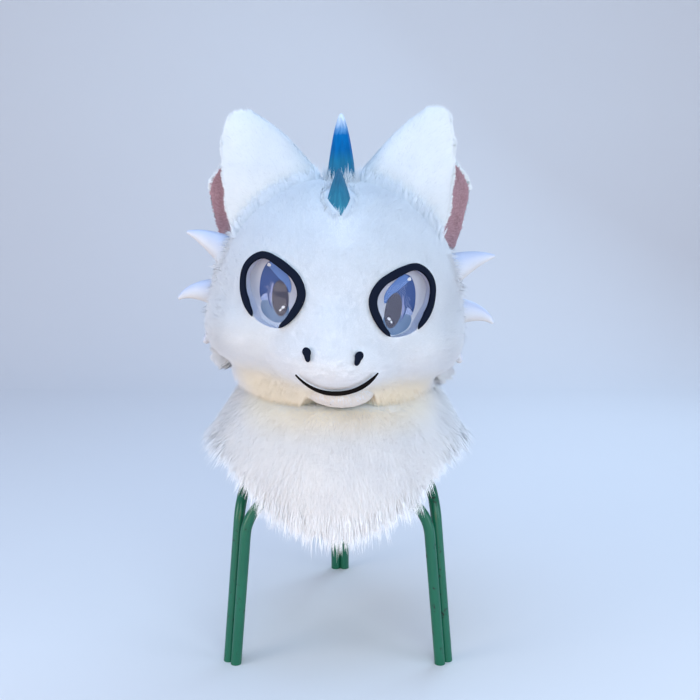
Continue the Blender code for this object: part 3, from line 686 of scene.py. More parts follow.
def coloured(tree, base, colour):
    tree.links.new(colour, base.inputs["Base Color"])


def math_node(tree, operation, first, second=0.0):
    made = node(tree, "ShaderNodeMath", {0: first, 1: second}, operation=operation)
    return made.outputs[0]


def vector_node(tree, operation, first, second=(0, 0, 0)):
    made = node(tree, "ShaderNodeVectorMath", {0: first, 1: second}, operation=operation)
    return made.outputs["Value" if operation in ("LENGTH", "DOT_PRODUCT") else "Vector"]


def map_range(tree, value, low, high, start=0.0, end=1.0, kind="SMOOTHSTEP"):
    """Goes from start to end while the value goes from low to high."""
    made = node(tree, "ShaderNodeMapRange", {"Value": value, "From Min": low, "From Max": high,
                                             "To Min": start, "To Max": end},
                interpolation_type=kind)
    return made.outputs["Result"]


def height_share(tree, low, high):
    """Zero at one height and one at another."""
    height = node(tree, "ShaderNodeSeparateXYZ", {0: place_in(tree)}).outputs["Z"]
    return map_range(tree, height, low, high)


def bump(tree, base, height, strength, distance):
    made = node(tree, "ShaderNodeBump", {"Height": height, "Strength": strength,
                                         "Distance": distance})
    tree.links.new(made.outputs["Normal"], base.inputs["Normal"])


def throat_shade_share(tree):
    """Mask of the warm shade painted under the chin: one there, fading to zero at the cheeks and
    lower down the skirt.
    """
    away = vector_node(tree, "SUBTRACT", place_in(tree), tuple(THROAT + SHIFT))
    away = vector_node(tree, "LENGTH", vector_node(tree, "MULTIPLY", away, THROAT_SCALE))
    near = map_range(tree, away, THROAT_CORE, THROAT_REACH, 1.0, 0.0)
    height = vector_node(tree, "DOT_PRODUCT", place_in(tree), (math.tan(HEAD_ROLL), 0, 1))
    below = map_range(tree, height, CHEEK_LOW, CHEEK_HIGH, 1.0, 0.0)
    return math_node(tree, "MULTIPLY", near, below)


def fur_paint(name, root, tip, warm_shade_root=None, warm_shade_tip=None, sheen=0.25):
    """Hair that is a little darker at its root, with warm shade painted in at the throat."""
    material, tree, base = shader(name, 0.72, Sheen_Weight=sheen, Sheen_Roughness=0.5,
                                  Specular_IOR_Level=0.25)
    along = node(tree, "ShaderNodeAttribute", attribute_name="along").outputs["Fac"]
    shade = mix(tree, along, root, tip)
    if warm_shade_root:
        shade = mix(tree, throat_shade_share(tree), shade, mix(tree, along, warm_shade_root, warm_shade_tip))
    patchy = speckled(tree, shade, noise(tree, 26, 4), (0.90, 0.91, 0.93), high=0.62)
    coloured(tree, base, mix(tree, 0.55, shade, patchy))
    return material


def skin_paint(name, colour, scale=900):
    """Backing cloth or foam, with its knit or pores as fine bumps."""
    material, tree, base = shader(name, 0.9, Sheen_Weight=0.2)
    knit = noise(tree, scale, 4)
    coloured(tree, base, mix(tree, knit, tuple(0.9 * c for c in colour), colour))
    bump(tree, base, knit, 0.5, 0.4 * MM)
    return material


def plastic_paint(name, low, high, roughness, scale=40, bumps=0.12, **values):
    """Cast or cut plastic with faint cloudy variation and fine surface bumps."""
    material, tree, base = shader(name, roughness, **values)
    coloured(tree, base, mix(tree, noise(tree, scale, 4), low, high))
    bump(tree, base, noise(tree, 12 * scale, 3), bumps, 0.3 * MM)
    return material


def horn_paint():
    """Tinted resin: teal foot, azure middle, white tip, with streaks that run up the horn."""
    material, tree, base = shader("horn_large_resin", 0.4, Specular_IOR_Level=0.05)
    foot = HORN_LARGE_BASE.z
    share = height_share(tree, foot, foot + HORN_LARGE_HEIGHT)
    streaks = streaks_up(tree, 230, 0.08)
    shift = math_node(tree, "MULTIPLY", math_node(tree, "SUBTRACT", streaks, 0.5), 0.10)
    body = ramp(tree, math_node(tree, "ADD", share, shift), [
        (0.0, (0.04, 0.18, 0.29)), (0.40, (0.012, 0.15, 0.29)), (0.60, (0.0004, 0.115, 0.34)),
        (0.84, (0.0004, 0.125, 0.37)), (0.91, (0.11, 0.28, 0.54)), (1.0, (0.60, 0.69, 0.83))])
    light = ramp(tree, streaks, [(0.35, (0.82, 0.84, 0.86)), (0.65, (1.08, 1.1, 1.1))])
    coloured(tree, base, times(tree, body, light))
    bump(tree, base, streaks, 0.25, 0.5 * MM)
    return material


def small_horn_paint():
    """Teal resin, darker towards its tip, with fine scratches up its length."""
    material, tree, base = shader("horn_small_resin", 0.42, Specular_IOR_Level=0.08)
    streaks = streaks_up(tree, 260, 0.1)
    share = height_share(tree, HORN_SMALL_BASE.z, HORN_SMALL_TIP.z)
    body = ramp(tree, share, [(0.0, (0.04, 0.24, 0.36)), (0.5, (0.022, 0.17, 0.29)),
                              (1.0, (0.03, 0.13, 0.24))])
    light = ramp(tree, streaks, [(0.35, (0.8, 0.82, 0.85)), (0.7, (1.15, 1.15, 1.1))])
    coloured(tree, base, times(tree, body, light))
    bump(tree, base, streaks, 0.2, 0.4 * MM)
    return material


def spike_paint():
    """Cast white with painted light and shade: greyer overall, bluish where it faces up, cream
    where it faces down; and fine tool marks.
    """
    material, tree, base = shader("spike_cast", 0.45, Sheen_Weight=0.1)
    normal = node(tree, "ShaderNodeTexCoord").outputs["Normal"]
    upward = node(tree, "ShaderNodeSeparateXYZ", {0: normal}).outputs["Z"]
    # Painted light and shade by facing: cream below, greyish in between, blue above
    share = map_range(tree, upward, -0.7, 0.5, kind="LINEAR")
    tone = ramp(tree, share, [(0.0, (0.68, 0.63, 0.60)), (0.45, (0.64, 0.66, 0.72)),
                              (1.0, (0.53, 0.59, 0.76))])
    coloured(tree, base, speckled(tree, tone, noise(tree, 60, 4), (0.92, 0.93, 0.94)))
    bump(tree, base, noise(tree, 480, 3), 0.12, 0.3 * MM)
    return material


def tube_paint():
    """Green gloss paint over steel, chipped in small spots."""
    material, tree, base = shader("stand_paint", 0.36, Coat_Weight=0.15, Coat_Roughness=0.2,
                                  Specular_IOR_Level=0.35)
    chips = ramp(tree, noise(tree, 95, 6, 0.72), [(0.60, (0, 0, 0)), (0.64, (1, 1, 1))])
    green = mix(tree, noise(tree, 18, 3), (0.005, 0.100, 0.056), (0.010, 0.150, 0.084))
    coloured(tree, base, mix(tree, chips, green, (0.012, 0.028, 0.024)))
    rough = map_range(tree, chips, 0.0, 1.0, 0.28, 0.62, "LINEAR")
    tree.links.new(rough, base.inputs["Roughness"])
    bump(tree, base, chips, -0.4, 0.25 * MM)
    return material


def lens_paint():
    """Clear dome: the print shows through it, lights mirror in it, and a pale painted reflection
    lightens it towards its edges.
    """
    material, tree, base = shader("lens_clear", 0.03, Specular_IOR_Level=1.0, Coat_Weight=1.0,
                                  Coat_Roughness=0.02, Alpha=0.07)
    # Painted reflection: pale blue where the dome is seen edge-on
    edge = node(tree, "ShaderNodeLayerWeight", {"Blend": 0.25}).outputs["Facing"]
    coloured(tree, base, mix(tree, edge, (0.02, 0.025, 0.04), (0.30, 0.34, 0.42)))
    return material


def plate_paint():
    """Printed white of the eye, greyer at the top where the lid's shade is printed."""
    material, tree, base = shader("eye_white_print", 0.5)
    share = height_share(tree, LID_SHADE_FROM, PRINT_TOP)
    tone = ramp(tree, share, [(0.0, (0.76, 0.80, 0.90)), (0.45, (0.58, 0.60, 0.70)),
                              (1.0, (0.52, 0.53, 0.62))])
    dark = times(tree, tone, (0.93, 0.93, 0.94))
    coloured(tree, base, mix(tree, noise(tree, PRINT_GRAIN, 2), dark, tone))
    return material


def print_paint(name, low, high=None):
    """One printed colour, with a soft gradient if two are given, and a faint print grain."""
    material, tree, base = shader(name, 0.5)
    tone = mix(tree, height_share(tree, PRINT_FOOT, PRINT_TOP), low, high or low)
    grain = noise(tree, PRINT_GRAIN, 2)
    coloured(tree, base, speckled(tree, tone, grain, (0.92, 0.92, 0.93)))
    return material


# The cream at the throat is painted warm shade: its centre, squeeze and reach, and the heights
# where it fades out
THROAT = Vector((0, -85, 365)) * MM
THROAT_SCALE = (0.6, 1, 1)
THROAT_CORE = 55 * MM
THROAT_REACH = 95 * MM
CHEEK_LOW, CHEEK_HIGH = 352 * MM, 392 * MM
# The head's fur is the skirt's white fur painted darker, as painted shade
FACE_SHADED_ROOT, FACE_SHADED_TIP = (0.72, 0.74, 0.77), (0.78, 0.80, 0.83)
WHITE_ROOT, WHITE_TIP = (0.88, 0.90, 0.93), (0.95, 0.965, 0.98)
WARM_SHADE_ROOT, WARM_SHADE_TIP = (0.86, 0.78, 0.62), (0.93, 0.86, 0.72)
PAINTS = {
    "face": fur_paint("fur_face_shaded", FACE_SHADED_ROOT, FACE_SHADED_TIP, WARM_SHADE_ROOT, WARM_SHADE_TIP),
    # White fur, with cream painted in as warm shade at the throat
    "white": fur_paint("fur_white", WHITE_ROOT, WHITE_TIP, (0.96, 0.91, 0.80), (1.0, 0.97, 0.88)),
    # Hair at the ears' seams fades from the face's painted shade to plain white
    "seam": fur_paint("fur_seam", FACE_SHADED_TIP, WHITE_ROOT),
    # The jaw's white fur is painted darker and warmer, as shade under the muzzle
    "jaw": fur_paint("fur_jaw_shaded", (0.77, 0.72, 0.67), (0.82, 0.77, 0.71)),
    "pink": fur_paint("fur_pink", (0.50, 0.30, 0.34), (0.60, 0.39, 0.45), sheen=0.1),
    "backing": skin_paint("fur_backing", (0.80, 0.82, 0.86)),
    "pink_backing": skin_paint("pink_backing", (0.46, 0.27, 0.31)),
    "bib_cloth": skin_paint("bib_cloth_knit", (0.80, 0.79, 0.76), 700),
    "core": skin_paint("fur_core", (0.90, 0.91, 0.93)),
    "well": plastic_paint("eye_well", (0.52, 0.56, 0.70), (0.60, 0.64, 0.80), 0.55),
    "inside": skin_paint("head_inside_foam", (0.62, 0.61, 0.58), 300),
    "spike": spike_paint(),
    "rim": plastic_paint("rim_navy", (0.004, 0.007, 0.018), (0.007, 0.011, 0.025), 0.85, 60,
                         0.2, Specular_IOR_Level=0.08),
    "lip": plastic_paint("lip_black", (0.006, 0.005, 0.005), (0.010, 0.008, 0.008), 0.85, 60,
                         0.2, Specular_IOR_Level=0.03),
    "horn": horn_paint(),
    "small_horn": small_horn_paint(),
    "tube": tube_paint(),
    "lens": lens_paint(),
    "plate": plate_paint(),
    "iris": print_paint("iris_blue", (0.008, 0.058, 0.24), (0.011, 0.066, 0.28)),
    "iris_light": print_paint("iris_light_blue", (0.08, 0.19, 0.52), (0.105, 0.24, 0.61)),
    "iris_low": print_paint("iris_steel", (0.13, 0.24, 0.42), (0.105, 0.205, 0.38)),
    "patch": print_paint("iris_pale_patch", (0.34, 0.44, 0.74)),
    "pupil": print_paint("pupil_violet", (0.026, 0.026, 0.065), (0.034, 0.032, 0.078)),
    "crescent": print_paint("iris_crescent", (0.25, 0.30, 0.60)),
    "glint": print_paint("eye_glint", (0.86, 0.88, 0.93)),
}


# Eyes

def eye_frame(side):
    """Centre and axes of an eye's plane: u outwards, v up, n out of the face."""
    out, ahead = math.sin(EYE_YAW), math.cos(EYE_YAW)
    up, level = math.sin(EYE_PITCH), math.cos(EYE_PITCH)
    n = np.array((side * out * level, -ahead * level, up))
    u = np.array((side * ahead, out, 0))
    v = np.array((-side * out * up, ahead * up, level))
    centre = front_hit(np.array(side * EYE_X), np.array(EYE_Z))[0]
    return centre, u, v, n


EYES = {side: eye_frame(side) for side in SIDES.values()}


def eye_radius(angle):
    """Outer radius of the eye rim in each direction, on a smooth closed curve."""
    place = np.degrees(np.asarray(angle)) / EYE_STEP
    first = np.floor(place).astype(int)
    near = [EYE_RADII[(first + k) % len(EYE_RADII)] for k in (-1, 0, 1, 2)]
    return through(*near, place - first)


def eye_points(side, angle, radius, height):
    """Points over an eye's plane, in the head's own frame."""
    centre, u, v, n = EYES[side]
    angle, radius, height = np.broadcast_arrays(angle, radius, height)
    across, up = radius * np.cos(angle), radius * np.sin(angle)
    return centre + u * across[..., None] + v * up[..., None] + n * height[..., None]


def eye_rings(side, angle, radius, heights):
    """One ring over an eye's plane for each height, in the row frame."""
    return [moved(eye_points(side, angle, radius, height), HEAD) for height in heights]


def eye_surface_height(side, angle, radius):
    """Height of the head's surface above the eye's plane."""
    lift = 60 * MM
    starts = eye_points(side, angle, radius, lift)
    hits = surface_hit(starts, -EYES[side][3], step=2 * MM)
    return lift - np.linalg.norm(starts - hits, axis=-1)


def rim_share(angle):
    """The rim's width in each direction, as a share of its full width."""
    turn = (np.degrees(angle) - math.degrees(RIM_START)) % 360
    length = math.degrees(RIM_END - RIM_START)
    outside = -np.minimum(turn - length, 360 - turn)
    from_end = np.where(turn > length, outside, np.minimum(turn, length - turn))
    return np.interp(from_end, *RIM_TAPER)


def glass_radius(angle, inset=0.0):
    """Radius of the rim's inner edge in each direction, less an inset."""
    return eye_radius(angle) - RIM_WIDTH * rim_share(angle) - inset


def eye_prism(side, scale, low, high, sides=120):
    angle = circle(sides)
    return eye_rings(side, angle, glass_radius(angle) * scale, (low, high))


def eye_rim(side_name, side):
    """A rounded foam strip round the eye, open below, with soft ends."""
    angle = np.linspace(RIM_START, RIM_END, RIM_SECTIONS + 1)
    outer = eye_radius(angle)
    inner = glass_radius(angle) - RIM_COVER * rim_share(angle)
    base_out = eye_surface_height(side, angle, outer) - EYE_BED
    base_in = eye_surface_height(side, angle, inner) - EYE_BED
    top = RIM_HEIGHT + RIM_LIFT + EYE_BED
    low_ends = 0.25 + 0.75 * rim_share(angle)
    rings = []
    for across, up in RIM_PROFILE:
        radius = outer + (inner - outer) * across
        height = base_out + (base_in - base_out) * across + top * up * low_ends
        rings += eye_rings(side, angle, radius, [height])
    name = "eye_rim_" + side_name
    mesh = loft(name, np.swapaxes(np.array(rings), 0, 1))
    new_piece("rim_" + side_name, mesh, ["rim"], [name], 60)


def eye_lens(side_name, side):
    """A thin clear dome that fills the rim."""
    angle = circle(96)
    reach = glass_radius(angle, -0.4 * MM)
    edge = eye_surface_height(side, angle, reach) - EYE_BED
    level = edge.mean()
    shares = np.sin(np.linspace(0.04, 1, 14) * math.pi / 2)
    rings = []
    for shell, scales in ((0, shares), (LENS_THICKNESS, shares[::-1])):
        for scale in scales:
            dome = LENS_CROWN * (1 - scale * scale)
            height = level + (edge - level) * scale + dome - shell
            rings += eye_rings(side, angle, reach * scale, [height])
    name = "eye_lens_" + side_name
    new_piece("lens_" + side_name, loft(name, rings), ["lens"], [name], 50)


PLATE_LEVEL = 0.3 * MM - POCKET_DEPTH + PLATE_THICKNESS
INK = 0.12 * MM


def rounded(corners, per=7):
    """A smooth closed curve through the given corners."""
    corners = np.asarray(corners, float)
    before, after, beyond = (np.roll(corners, k, axis=0) for k in (1, -1, -2))
    curve = [through(before, corners, after, beyond, t)
             for t in np.linspace(0, 1, per, endpoint=False)]
    return np.stack(curve, axis=1).reshape(-1, 2)


def printed(name, side_name, side, outline, layer, paint):
    """A flat printed shape on the eye's plate, cut off at the rim; its outline is in mm."""
    outline = (np.asarray(outline, float) - (0, side * PRINT_LOWER)) * MM
    angle = np.arctan2(outline[:, 1], outline[:, 0])
    radius = np.minimum(np.linalg.norm(outline, axis=1), glass_radius(angle, 0.8 * MM))
    low = PLATE_LEVEL + layer * INK
    mesh = loft(name, eye_rings(side, angle, radius, (low, low + 0.8 * INK)))
    new_piece(f"{name}_{side_name}", mesh, [paint], (), 30)


def oval(centre, half, tilt, count=64):
    """Points of an ellipse, whose top leans outwards by tilt degrees."""
    angle = circle(count)
    lean = math.radians(-tilt)
    x, y = half[0] * np.cos(angle), half[1] * np.sin(angle)
    return np.stack([centre[0] + x * math.cos(lean) - y * math.sin(lean),
                     centre[1] + x * math.sin(lean) + y * math.cos(lean)], axis=1)


# The left print sits lower than the right one by twice this, in mm
PRINT_LOWER = 2.0
PUPIL = ((-6.4, -9.2), (11, 20.5), 14)
IRIS_FOOT = [(17.5, -15.5), (12, -13), (4, -14), (-6, -14), (-16, -14), (-20, -20), (-20, -28),
             (-15, -34.5), (-7, -37), (1, -36), (11, -31.5), (16.5, -26), (18.7, -20)]
IRIS_PATCH = [(20, -12), (17.5, -15.5), (12, -13.5), (7, -14), (9, -8), (13, -5.5)]
IRIS_DARK = [(20.5, -12), (20.9, -11), (23, -5), (24, 3), (24, 12), (22, 21), (17.5, 29), (10, 32),
             (3, 29), (-7, 21), (-13, 15), (-18, 7), (-17, 0), (-9, -4), (2, -8), (8, -2),
             (8, -12), (1.7, -22.5), (3, -22), (7.6, -17), (10.6, -11), (12.8, -6), (13.6, -5.9),
             (17, -8)]
IRIS_LIGHT = [(15.3, 24.5), (15, 28), (10, 31.5), (4, 30.5), (-3, 25), (-13.1, 16), (-18.5, 6.5),
              (-17.8, -1.3), (-13.1, 4.8), (-6.4, 9.3), (3.0, 15.4), (10, 20.5)]
IRIS_CRESCENT = [(6.3, 8.5), (7.6, 2), (7.8, -6), (6.6, -15), (4.4, -18), (5.4, -8), (5.6, 0)]
IRIS_SHINE = [(16.6, 28.5), (13.5, 27.3), (12.8, 25.3), (15.2, 24.4), (17.8, 25.4)]
# Each shape lies over the one before it: name, outline and paint
EYE_SHAPES = (
    ("iris_foot", rounded(IRIS_FOOT), "iris_low"), ("iris_patch", rounded(IRIS_PATCH), "patch"),
    ("iris_dark", rounded(IRIS_DARK), "iris"), ("iris_light", rounded(IRIS_LIGHT), "iris_light"),
    ("iris_shine", rounded(IRIS_SHINE), "glint"), ("pupil", oval(*PUPIL), "pupil"),
    ("iris_crescent", rounded(IRIS_CRESCENT), "crescent"),
    ("glint_low", oval((-12.2, -18.6), (2.5, 1.6), 30), "glint"),
    ("glint_high", oval((-9.2, -22.2), (1.7, 1.2), 60), "glint"),
)


def eye_print(side_name, side):
    """A white disc with an iris in two blues over a steel-blue foot, a dark pupil and glints."""
    angle = circle(96)
    levels = (PLATE_LEVEL - PLATE_THICKNESS, PLATE_LEVEL)
    disc = loft("eye_white", eye_rings(side, angle, glass_radius(angle, 0.3 * MM), levels))
    new_piece("eye_white_" + side_name, disc, ["plate"], ["eye_plate_" + side_name],
              30)
    for layer, (name, outline, paint) in enumerate(EYE_SHAPES, 1):
        printed(name, side_name, side, outline, layer, paint)


def build_eyes():
    for side_name, side in SIDES.items():
        eye_rim(side_name, side)
        eye_lens(side_name, side)
        eye_print(side_name, side)


# Head

def head_rings():
    """The skin under the head's fur, from pole to pole."""
    def push(directions):
        starts = np.broadcast_to(FORM_CENTRE, directions.shape)
        reach = crossing(starts, directions, 10 * MM, FORM_REACH, -SKIN_DEPTH)
        return FORM_CENTRE + directions * reach[..., None]
    return sphere_rings(SKIN_AROUND, SKIN_DOWN, push)


def ellipsoid_rings(block, growth=0.0, around=64, down=40):
    centre, radii = measures(block)
    return sphere_rings(around, down, lambda directions: centre + directions * (radii + growth))


def cylinder_rings(radii, centre, low, high, sides=72):
    ring = flat_ring(circle(sides), *radii)
    return [ring + np.array((*centre, height)) for height in (low, high)]


def build_head_skin():
    outside = loft("head_skin", moved(head_rings(), HEAD))
    neck_centre = (SHIFT.x, SHIFT.y + NECK_CENTRE_Y)
    neck = cylinder_rings(NECK_HOLE, neck_centre, NECK_HOLE_BOTTOM, NECK_HOLE_TOP)
    below = cylinder_rings((300 * MM, 300 * MM), SHIFT.xy, 0, STAND_TOP + 0.3 * MM)
    cutters = [loft("cavity", moved(ellipsoid_rings(CAVITY), HEAD)), loft("neck", neck),
               loft("below", below)]
    for side in SIDES.values():
        pocket = eye_prism(side, 1.0, -POCKET_DEPTH, 40 * MM)
        tunnel = eye_prism(side, LEDGE_SCALE, -TUNNEL_REACH, -TUNNEL_START)
        cutters += [loft("pocket", pocket), loft("tunnel", tunnel)]
    mesh = cut(outside, cutters)

    centres = np.array([polygon.center for polygon in mesh.polygons])
    local = moved(centres, HEAD.inverted())
    value = form_value(local)
    backing, well, inside = range(3)
    kinds = np.where(value < -SKIN_DEPTH - 1.5 * MM, inside, backing)
    for side in SIDES.values():
        centre, u, v, n = EYES[side]
        away = local - centre
        x, y, h = away @ u, away @ v, away @ n
        near = np.hypot(x, y) < glass_radius(np.arctan2(y, x), -0.5 * MM)
        kinds[near & (h > -POCKET_DEPTH - 1 * MM) & (value < -SKIN_DEPTH - 0.2 * MM)] = well
    skin = new_piece("head_skin", mesh, ["backing", "well", "inside"], ["head_shell"])
    mesh.polygons.foreach_set("material_index", kinds.astype(np.int32))


def mouth_height(share):
    """Height of the mouth's line, which stays level while the head leans."""
    rise = MOUTH_RISE * np.abs(share) ** MOUTH_CURVE
    return MOUTH_LOW_Z + rise + share * MOUTH_HALF * math.tan(HEAD_ROLL)


def build_mouth():
    share = np.linspace(-1, 1, 61)
    hits = front_hit(MOUTH_X + share * MOUTH_HALF, mouth_height(share))
    normals = form_normal(hits)
    along = unit(np.gradient(hits, axis=0))
    across = unit(np.cross(along, normals))
    half = np.interp(share, *MOUTH_WIDTHS) * MM
    deep = 0.6 * half + 0.8 * MM
    middle = hits + normals * (deep + 0.4 * MM)[:, None]
    turn = circle(14)
    rings = (middle[:, None] + across[:, None] * half[:, None, None] * np.cos(turn)[:, None]
             + normals[:, None] * deep[:, None, None] * np.sin(turn)[:, None])
    mesh = loft("mouth", moved(rings, HEAD))
    new_piece("lip_line", mesh, ["lip"], ["mouth_line"], 60)


def nostril_outline():
    angle = circle(64)
    tail = math.atan2(NOSTRIL_TAIL.y, NOSTRIL_TAIL.x)
    swing = np.maximum(np.cos(angle - tail), 0)
    reach = NOSTRIL_RADIUS + (NOSTRIL_TAIL.length - NOSTRIL_RADIUS) * swing ** 9
    return np.stack([reach * np.cos(angle), reach * np.sin(angle)], axis=1)


def build_nostrils():
    across, up = nostril_outline().T
    for side_name, side in SIDES.items():
        rings = []
        for scale, height in NOSTRIL_PROFILE:
            hits = front_hit(side * (NOSTRIL_X + across * scale), NOSTRIL_Z + up * scale)
            rings.append(moved(hits + form_normal(hits) * height * MM, HEAD))
        new_piece("nose_mark_" + side_name, loft("nostril", rings), ["rim"],
                  ["nostril_" + side_name], 60)


def jaw_rings():
    return ellipsoid_rings(JAW, -1.5 * MM, 72, 48)


def build_jaw():
    mesh = loft("jaw_skin", moved(jaw_rings(), HEAD))
    skin = new_piece("jaw_skin", mesh, ["backing"], ["lower_jaw"])


def eye_distance(points):
    """How far each point of the head lies outside the nearer eye's outline."""
    found = np.full(len(points), FAR)
    for side in SIDES.values():
        centre, u, v, n = EYES[side]
        away = points - centre
        x, y = away @ u, away @ v
        outside = np.hypot(x, y) - eye_radius(np.arctan2(y, x))
        found = np.minimum(found, np.where(away @ n > -60 * MM, outside, FAR))
    return found


def mouth_distance(points):
    """How far points of the head lie outside the mouth's line."""
    along = points[:, 0] - MOUTH_X
    share = np.clip(along / MOUTH_HALF, -1, 1)
    beyond = np.maximum(np.abs(along) - MOUTH_HALF, 0)
    away = np.hypot(points[:, 2] - mouth_height(share), beyond)
    return np.where(points[:, 1] < MUZZLE_Y, away - np.interp(share, *MOUTH_WIDTHS) * MM, FAR)


def nostril_distance(points):
    """How far points of the head lie outside the nostrils, from round part to tail's end."""
    flat = np.stack([np.abs(points[:, 0]) - NOSTRIL_X, points[:, 2] - NOSTRIL_Z], axis=1)
    tail = np.array(NOSTRIL_TAIL)
    t = np.clip(flat @ tail / (tail @ tail), 0, 1)
    away = np.linalg.norm(flat - tail * t[:, None], axis=1) - NOSTRIL_RADIUS * (1 - 0.85 * t)
    return np.where(points[:, 1] < MUZZLE_Y, away, FAR)


def spike_corners(spike, side):
    """Root, bend and tip of a spike on one side of the head."""
    return [np.array((side * x, y, z)) * MM for x, y, z in (spike.root, spike.bend, spike.tip)]


def spike_half(spike, t):
    return (spike.tip_half + (spike.root_half - spike.tip_half) * (1 - t)) * MM


def spike_distance(points):
    """How far points of the head lie outside the nearest cheek spike."""
    found = np.full(len(points), FAR)
    for spike in SPIKES:
        for side in SIDES.values():
            corners = spike_corners(spike, side)
            for t in np.linspace(0, 1, 10):
                away = (points - hooked(*corners, t)) / np.array((1, SPIKE_FLATNESS, 1))
                found = np.minimum(found, np.linalg.norm(away, axis=1) - spike_half(spike, t))
    return found


def horn_distance(world):
    """Sideways distance outside the horns' feet, for points in the row frame."""
    large = world - np.array(HORN_LARGE_BASE + SHIFT)
    small = world - np.array(HORN_SMALL_BASE + SHIFT)
    away_large = np.hypot(large[:, 0], large[:, 1]) - HORN_LARGE_RADIUS
    cosine, sine = math.cos(HORN_SMALL_RIDGE), math.sin(HORN_SMALL_RIDGE)
    x = small[:, 0] * cosine + small[:, 1] * sine
    y = -small[:, 0] * sine + small[:, 1] * cosine
    away_small = np.abs(x) / HORN_SMALL_HALF[0] + np.abs(y) / HORN_SMALL_HALF[1] - 1
    found = np.minimum(away_large, away_small * HORN_SMALL_MEAN * MM - HORN_SMALL_MARGIN)
    return np.where(world[:, 2] > CROWN_LEVEL, found, FAR)


def jaw_inside(points):
    centre, radii = measures(JAW)
    return np.linalg.norm((points - centre) / radii, axis=1) < 0.97


def neck_share(points):
    """Zero on the head, one on the neck below the cheeks and the jaw."""
    return smooth_step(-points[:, 2], 66 * MM, 82 * MM)


def combing(points):
    """The lie of the head's fur: back from the nose, and down at the back and on the neck."""
    flow = unit(points - COMB_FROM)
    back = smooth_step(points[:, 1], 20 * MM, 120 * MM)
    wide = smooth_step(np.abs(points[:, 0]), 60 * MM, 110 * MM)
    low = smooth_step(-points[:, 2], 10 * MM, 60 * MM) * wide
    down = 1.6 * back + 0.6 * low + 2.4 * neck_share(points)
    return flow + DOWN_IN_HEAD * down[:, None] + 0.22 * wander(points, 42 * MM)


def head_fur_length(points, world):
    """Pile length in metres: short on the muzzle and round eyes and horns, long behind."""
    x, y, z = np.abs(points[:, 0]), points[:, 1], points[:, 2]
    length = 6.0 + 0 * x
    length -= 2.2 * smooth_step(-y, 120 * MM, 150 * MM)
    length += 4 * smooth_step(z, 100 * MM, 140 * MM)
    length += 7 * smooth_step(x, 118 * MM, 142 * MM) * smooth_step(-z, -60 * MM, 0)
    length += 10 * smooth_step(y, 30 * MM, 90 * MM)
    length += 17 * neck_share(points)
    near = np.minimum(mouth_distance(points), nostril_distance(points))
    near = np.clip(np.minimum(eye_distance(points), near) / (6 * MM), 0, 1)
    horns = np.clip(horn_distance(world) / (30 * MM), 0, 1)
    return length * (0.6 + 0.4 * near) * (0.3 + 0.7 * horns) * MM


def raggedness(points):
    """One on the cheeks' sides, where the hair stands off in pointed locks."""
    x, z = np.abs(points[:, 0]), points[:, 2]
    return smooth_step(x, 108 * MM, 134 * MM) * (1 - smooth_step(z, 30 * MM, 75 * MM))


def build_head_fur(rng):
    local = scatter(head_rings(), HEAD_HAIRS, rng).place
    world = moved(local, HEAD)
    outward = form_normal(local)
    keep = (eye_distance(local) > 0.4 * MM) & (mouth_distance(local) > 0.3 * MM)
    keep &= (nostril_distance(local) > 0.4 * MM) & (spike_distance(local) > -1.5 * MM)
    keep &= (horn_distance(world) > 1.0 * MM) & ~jaw_inside(local)
    keep &= world[:, 2] > BIB_TOP - 10 * MM
    front = keep & (local[:, 1] < FACE_BACK_Y)
    rear = keep & ~front & (rng.random(len(local)) < 0.5)
    for name, chosen in (("face_fur", front), ("back_fur", rear)):
        points, normals = local[chosen], outward[chosen]
        length = head_fur_length(points, world[chosen])
        long = smooth_step(length, 8 * MM, 18 * MM)
        ragged = raggedness(points)
        neck = neck_share(points)
        lean = 0.86 - 0.10 * long - 0.38 * neck - 0.14 * ragged
        dome = smooth_step(points[:, 2], 85 * MM, 125 * MM) * (points[:, 1] < FACE_BACK_Y)
        ahead = (0.9 * neck + 0.5 * dome)[:, None] * np.array((0, -1.0, 0.35))
        lock = 0.04 + (0.26 - 0.20 * neck) * long + 0.20 * ragged
        fur(name, head_roots(points, normals), turned(combing(points), HEAD), length,
            (0.56 + 0.22 * long) * MM, lean, "face", rng, lock=lock, droop=0.12 * long,
            stray=0.25 + 0.20 * ragged, soft=0.95, lit=turned(normals, HEAD) + ahead, bends=1)


# Ears

def ear_levels(heights):
    """Widths and depths of the ear at any height, on smooth curves through the given rows."""
    rows, values = EAR_LEVELS[:, 0], EAR_LEVELS[:, 1:]
    slopes = np.gradient(values, rows, axis=0)
    i = np.clip(np.searchsorted(rows, heights) - 1, 0, len(rows) - 2)
    step = (rows[i + 1] - rows[i])[:, None]
    t = ((heights - rows[i])[:, None]) / step
    return ((1 + 2 * t) * (1 - t) ** 2 * values[i] + t * (1 - t) ** 2 * slopes[i] * step
            + t * t * (3 - 2 * t) * values[i + 1] + t * t * (t - 1) * slopes[i + 1] * step)


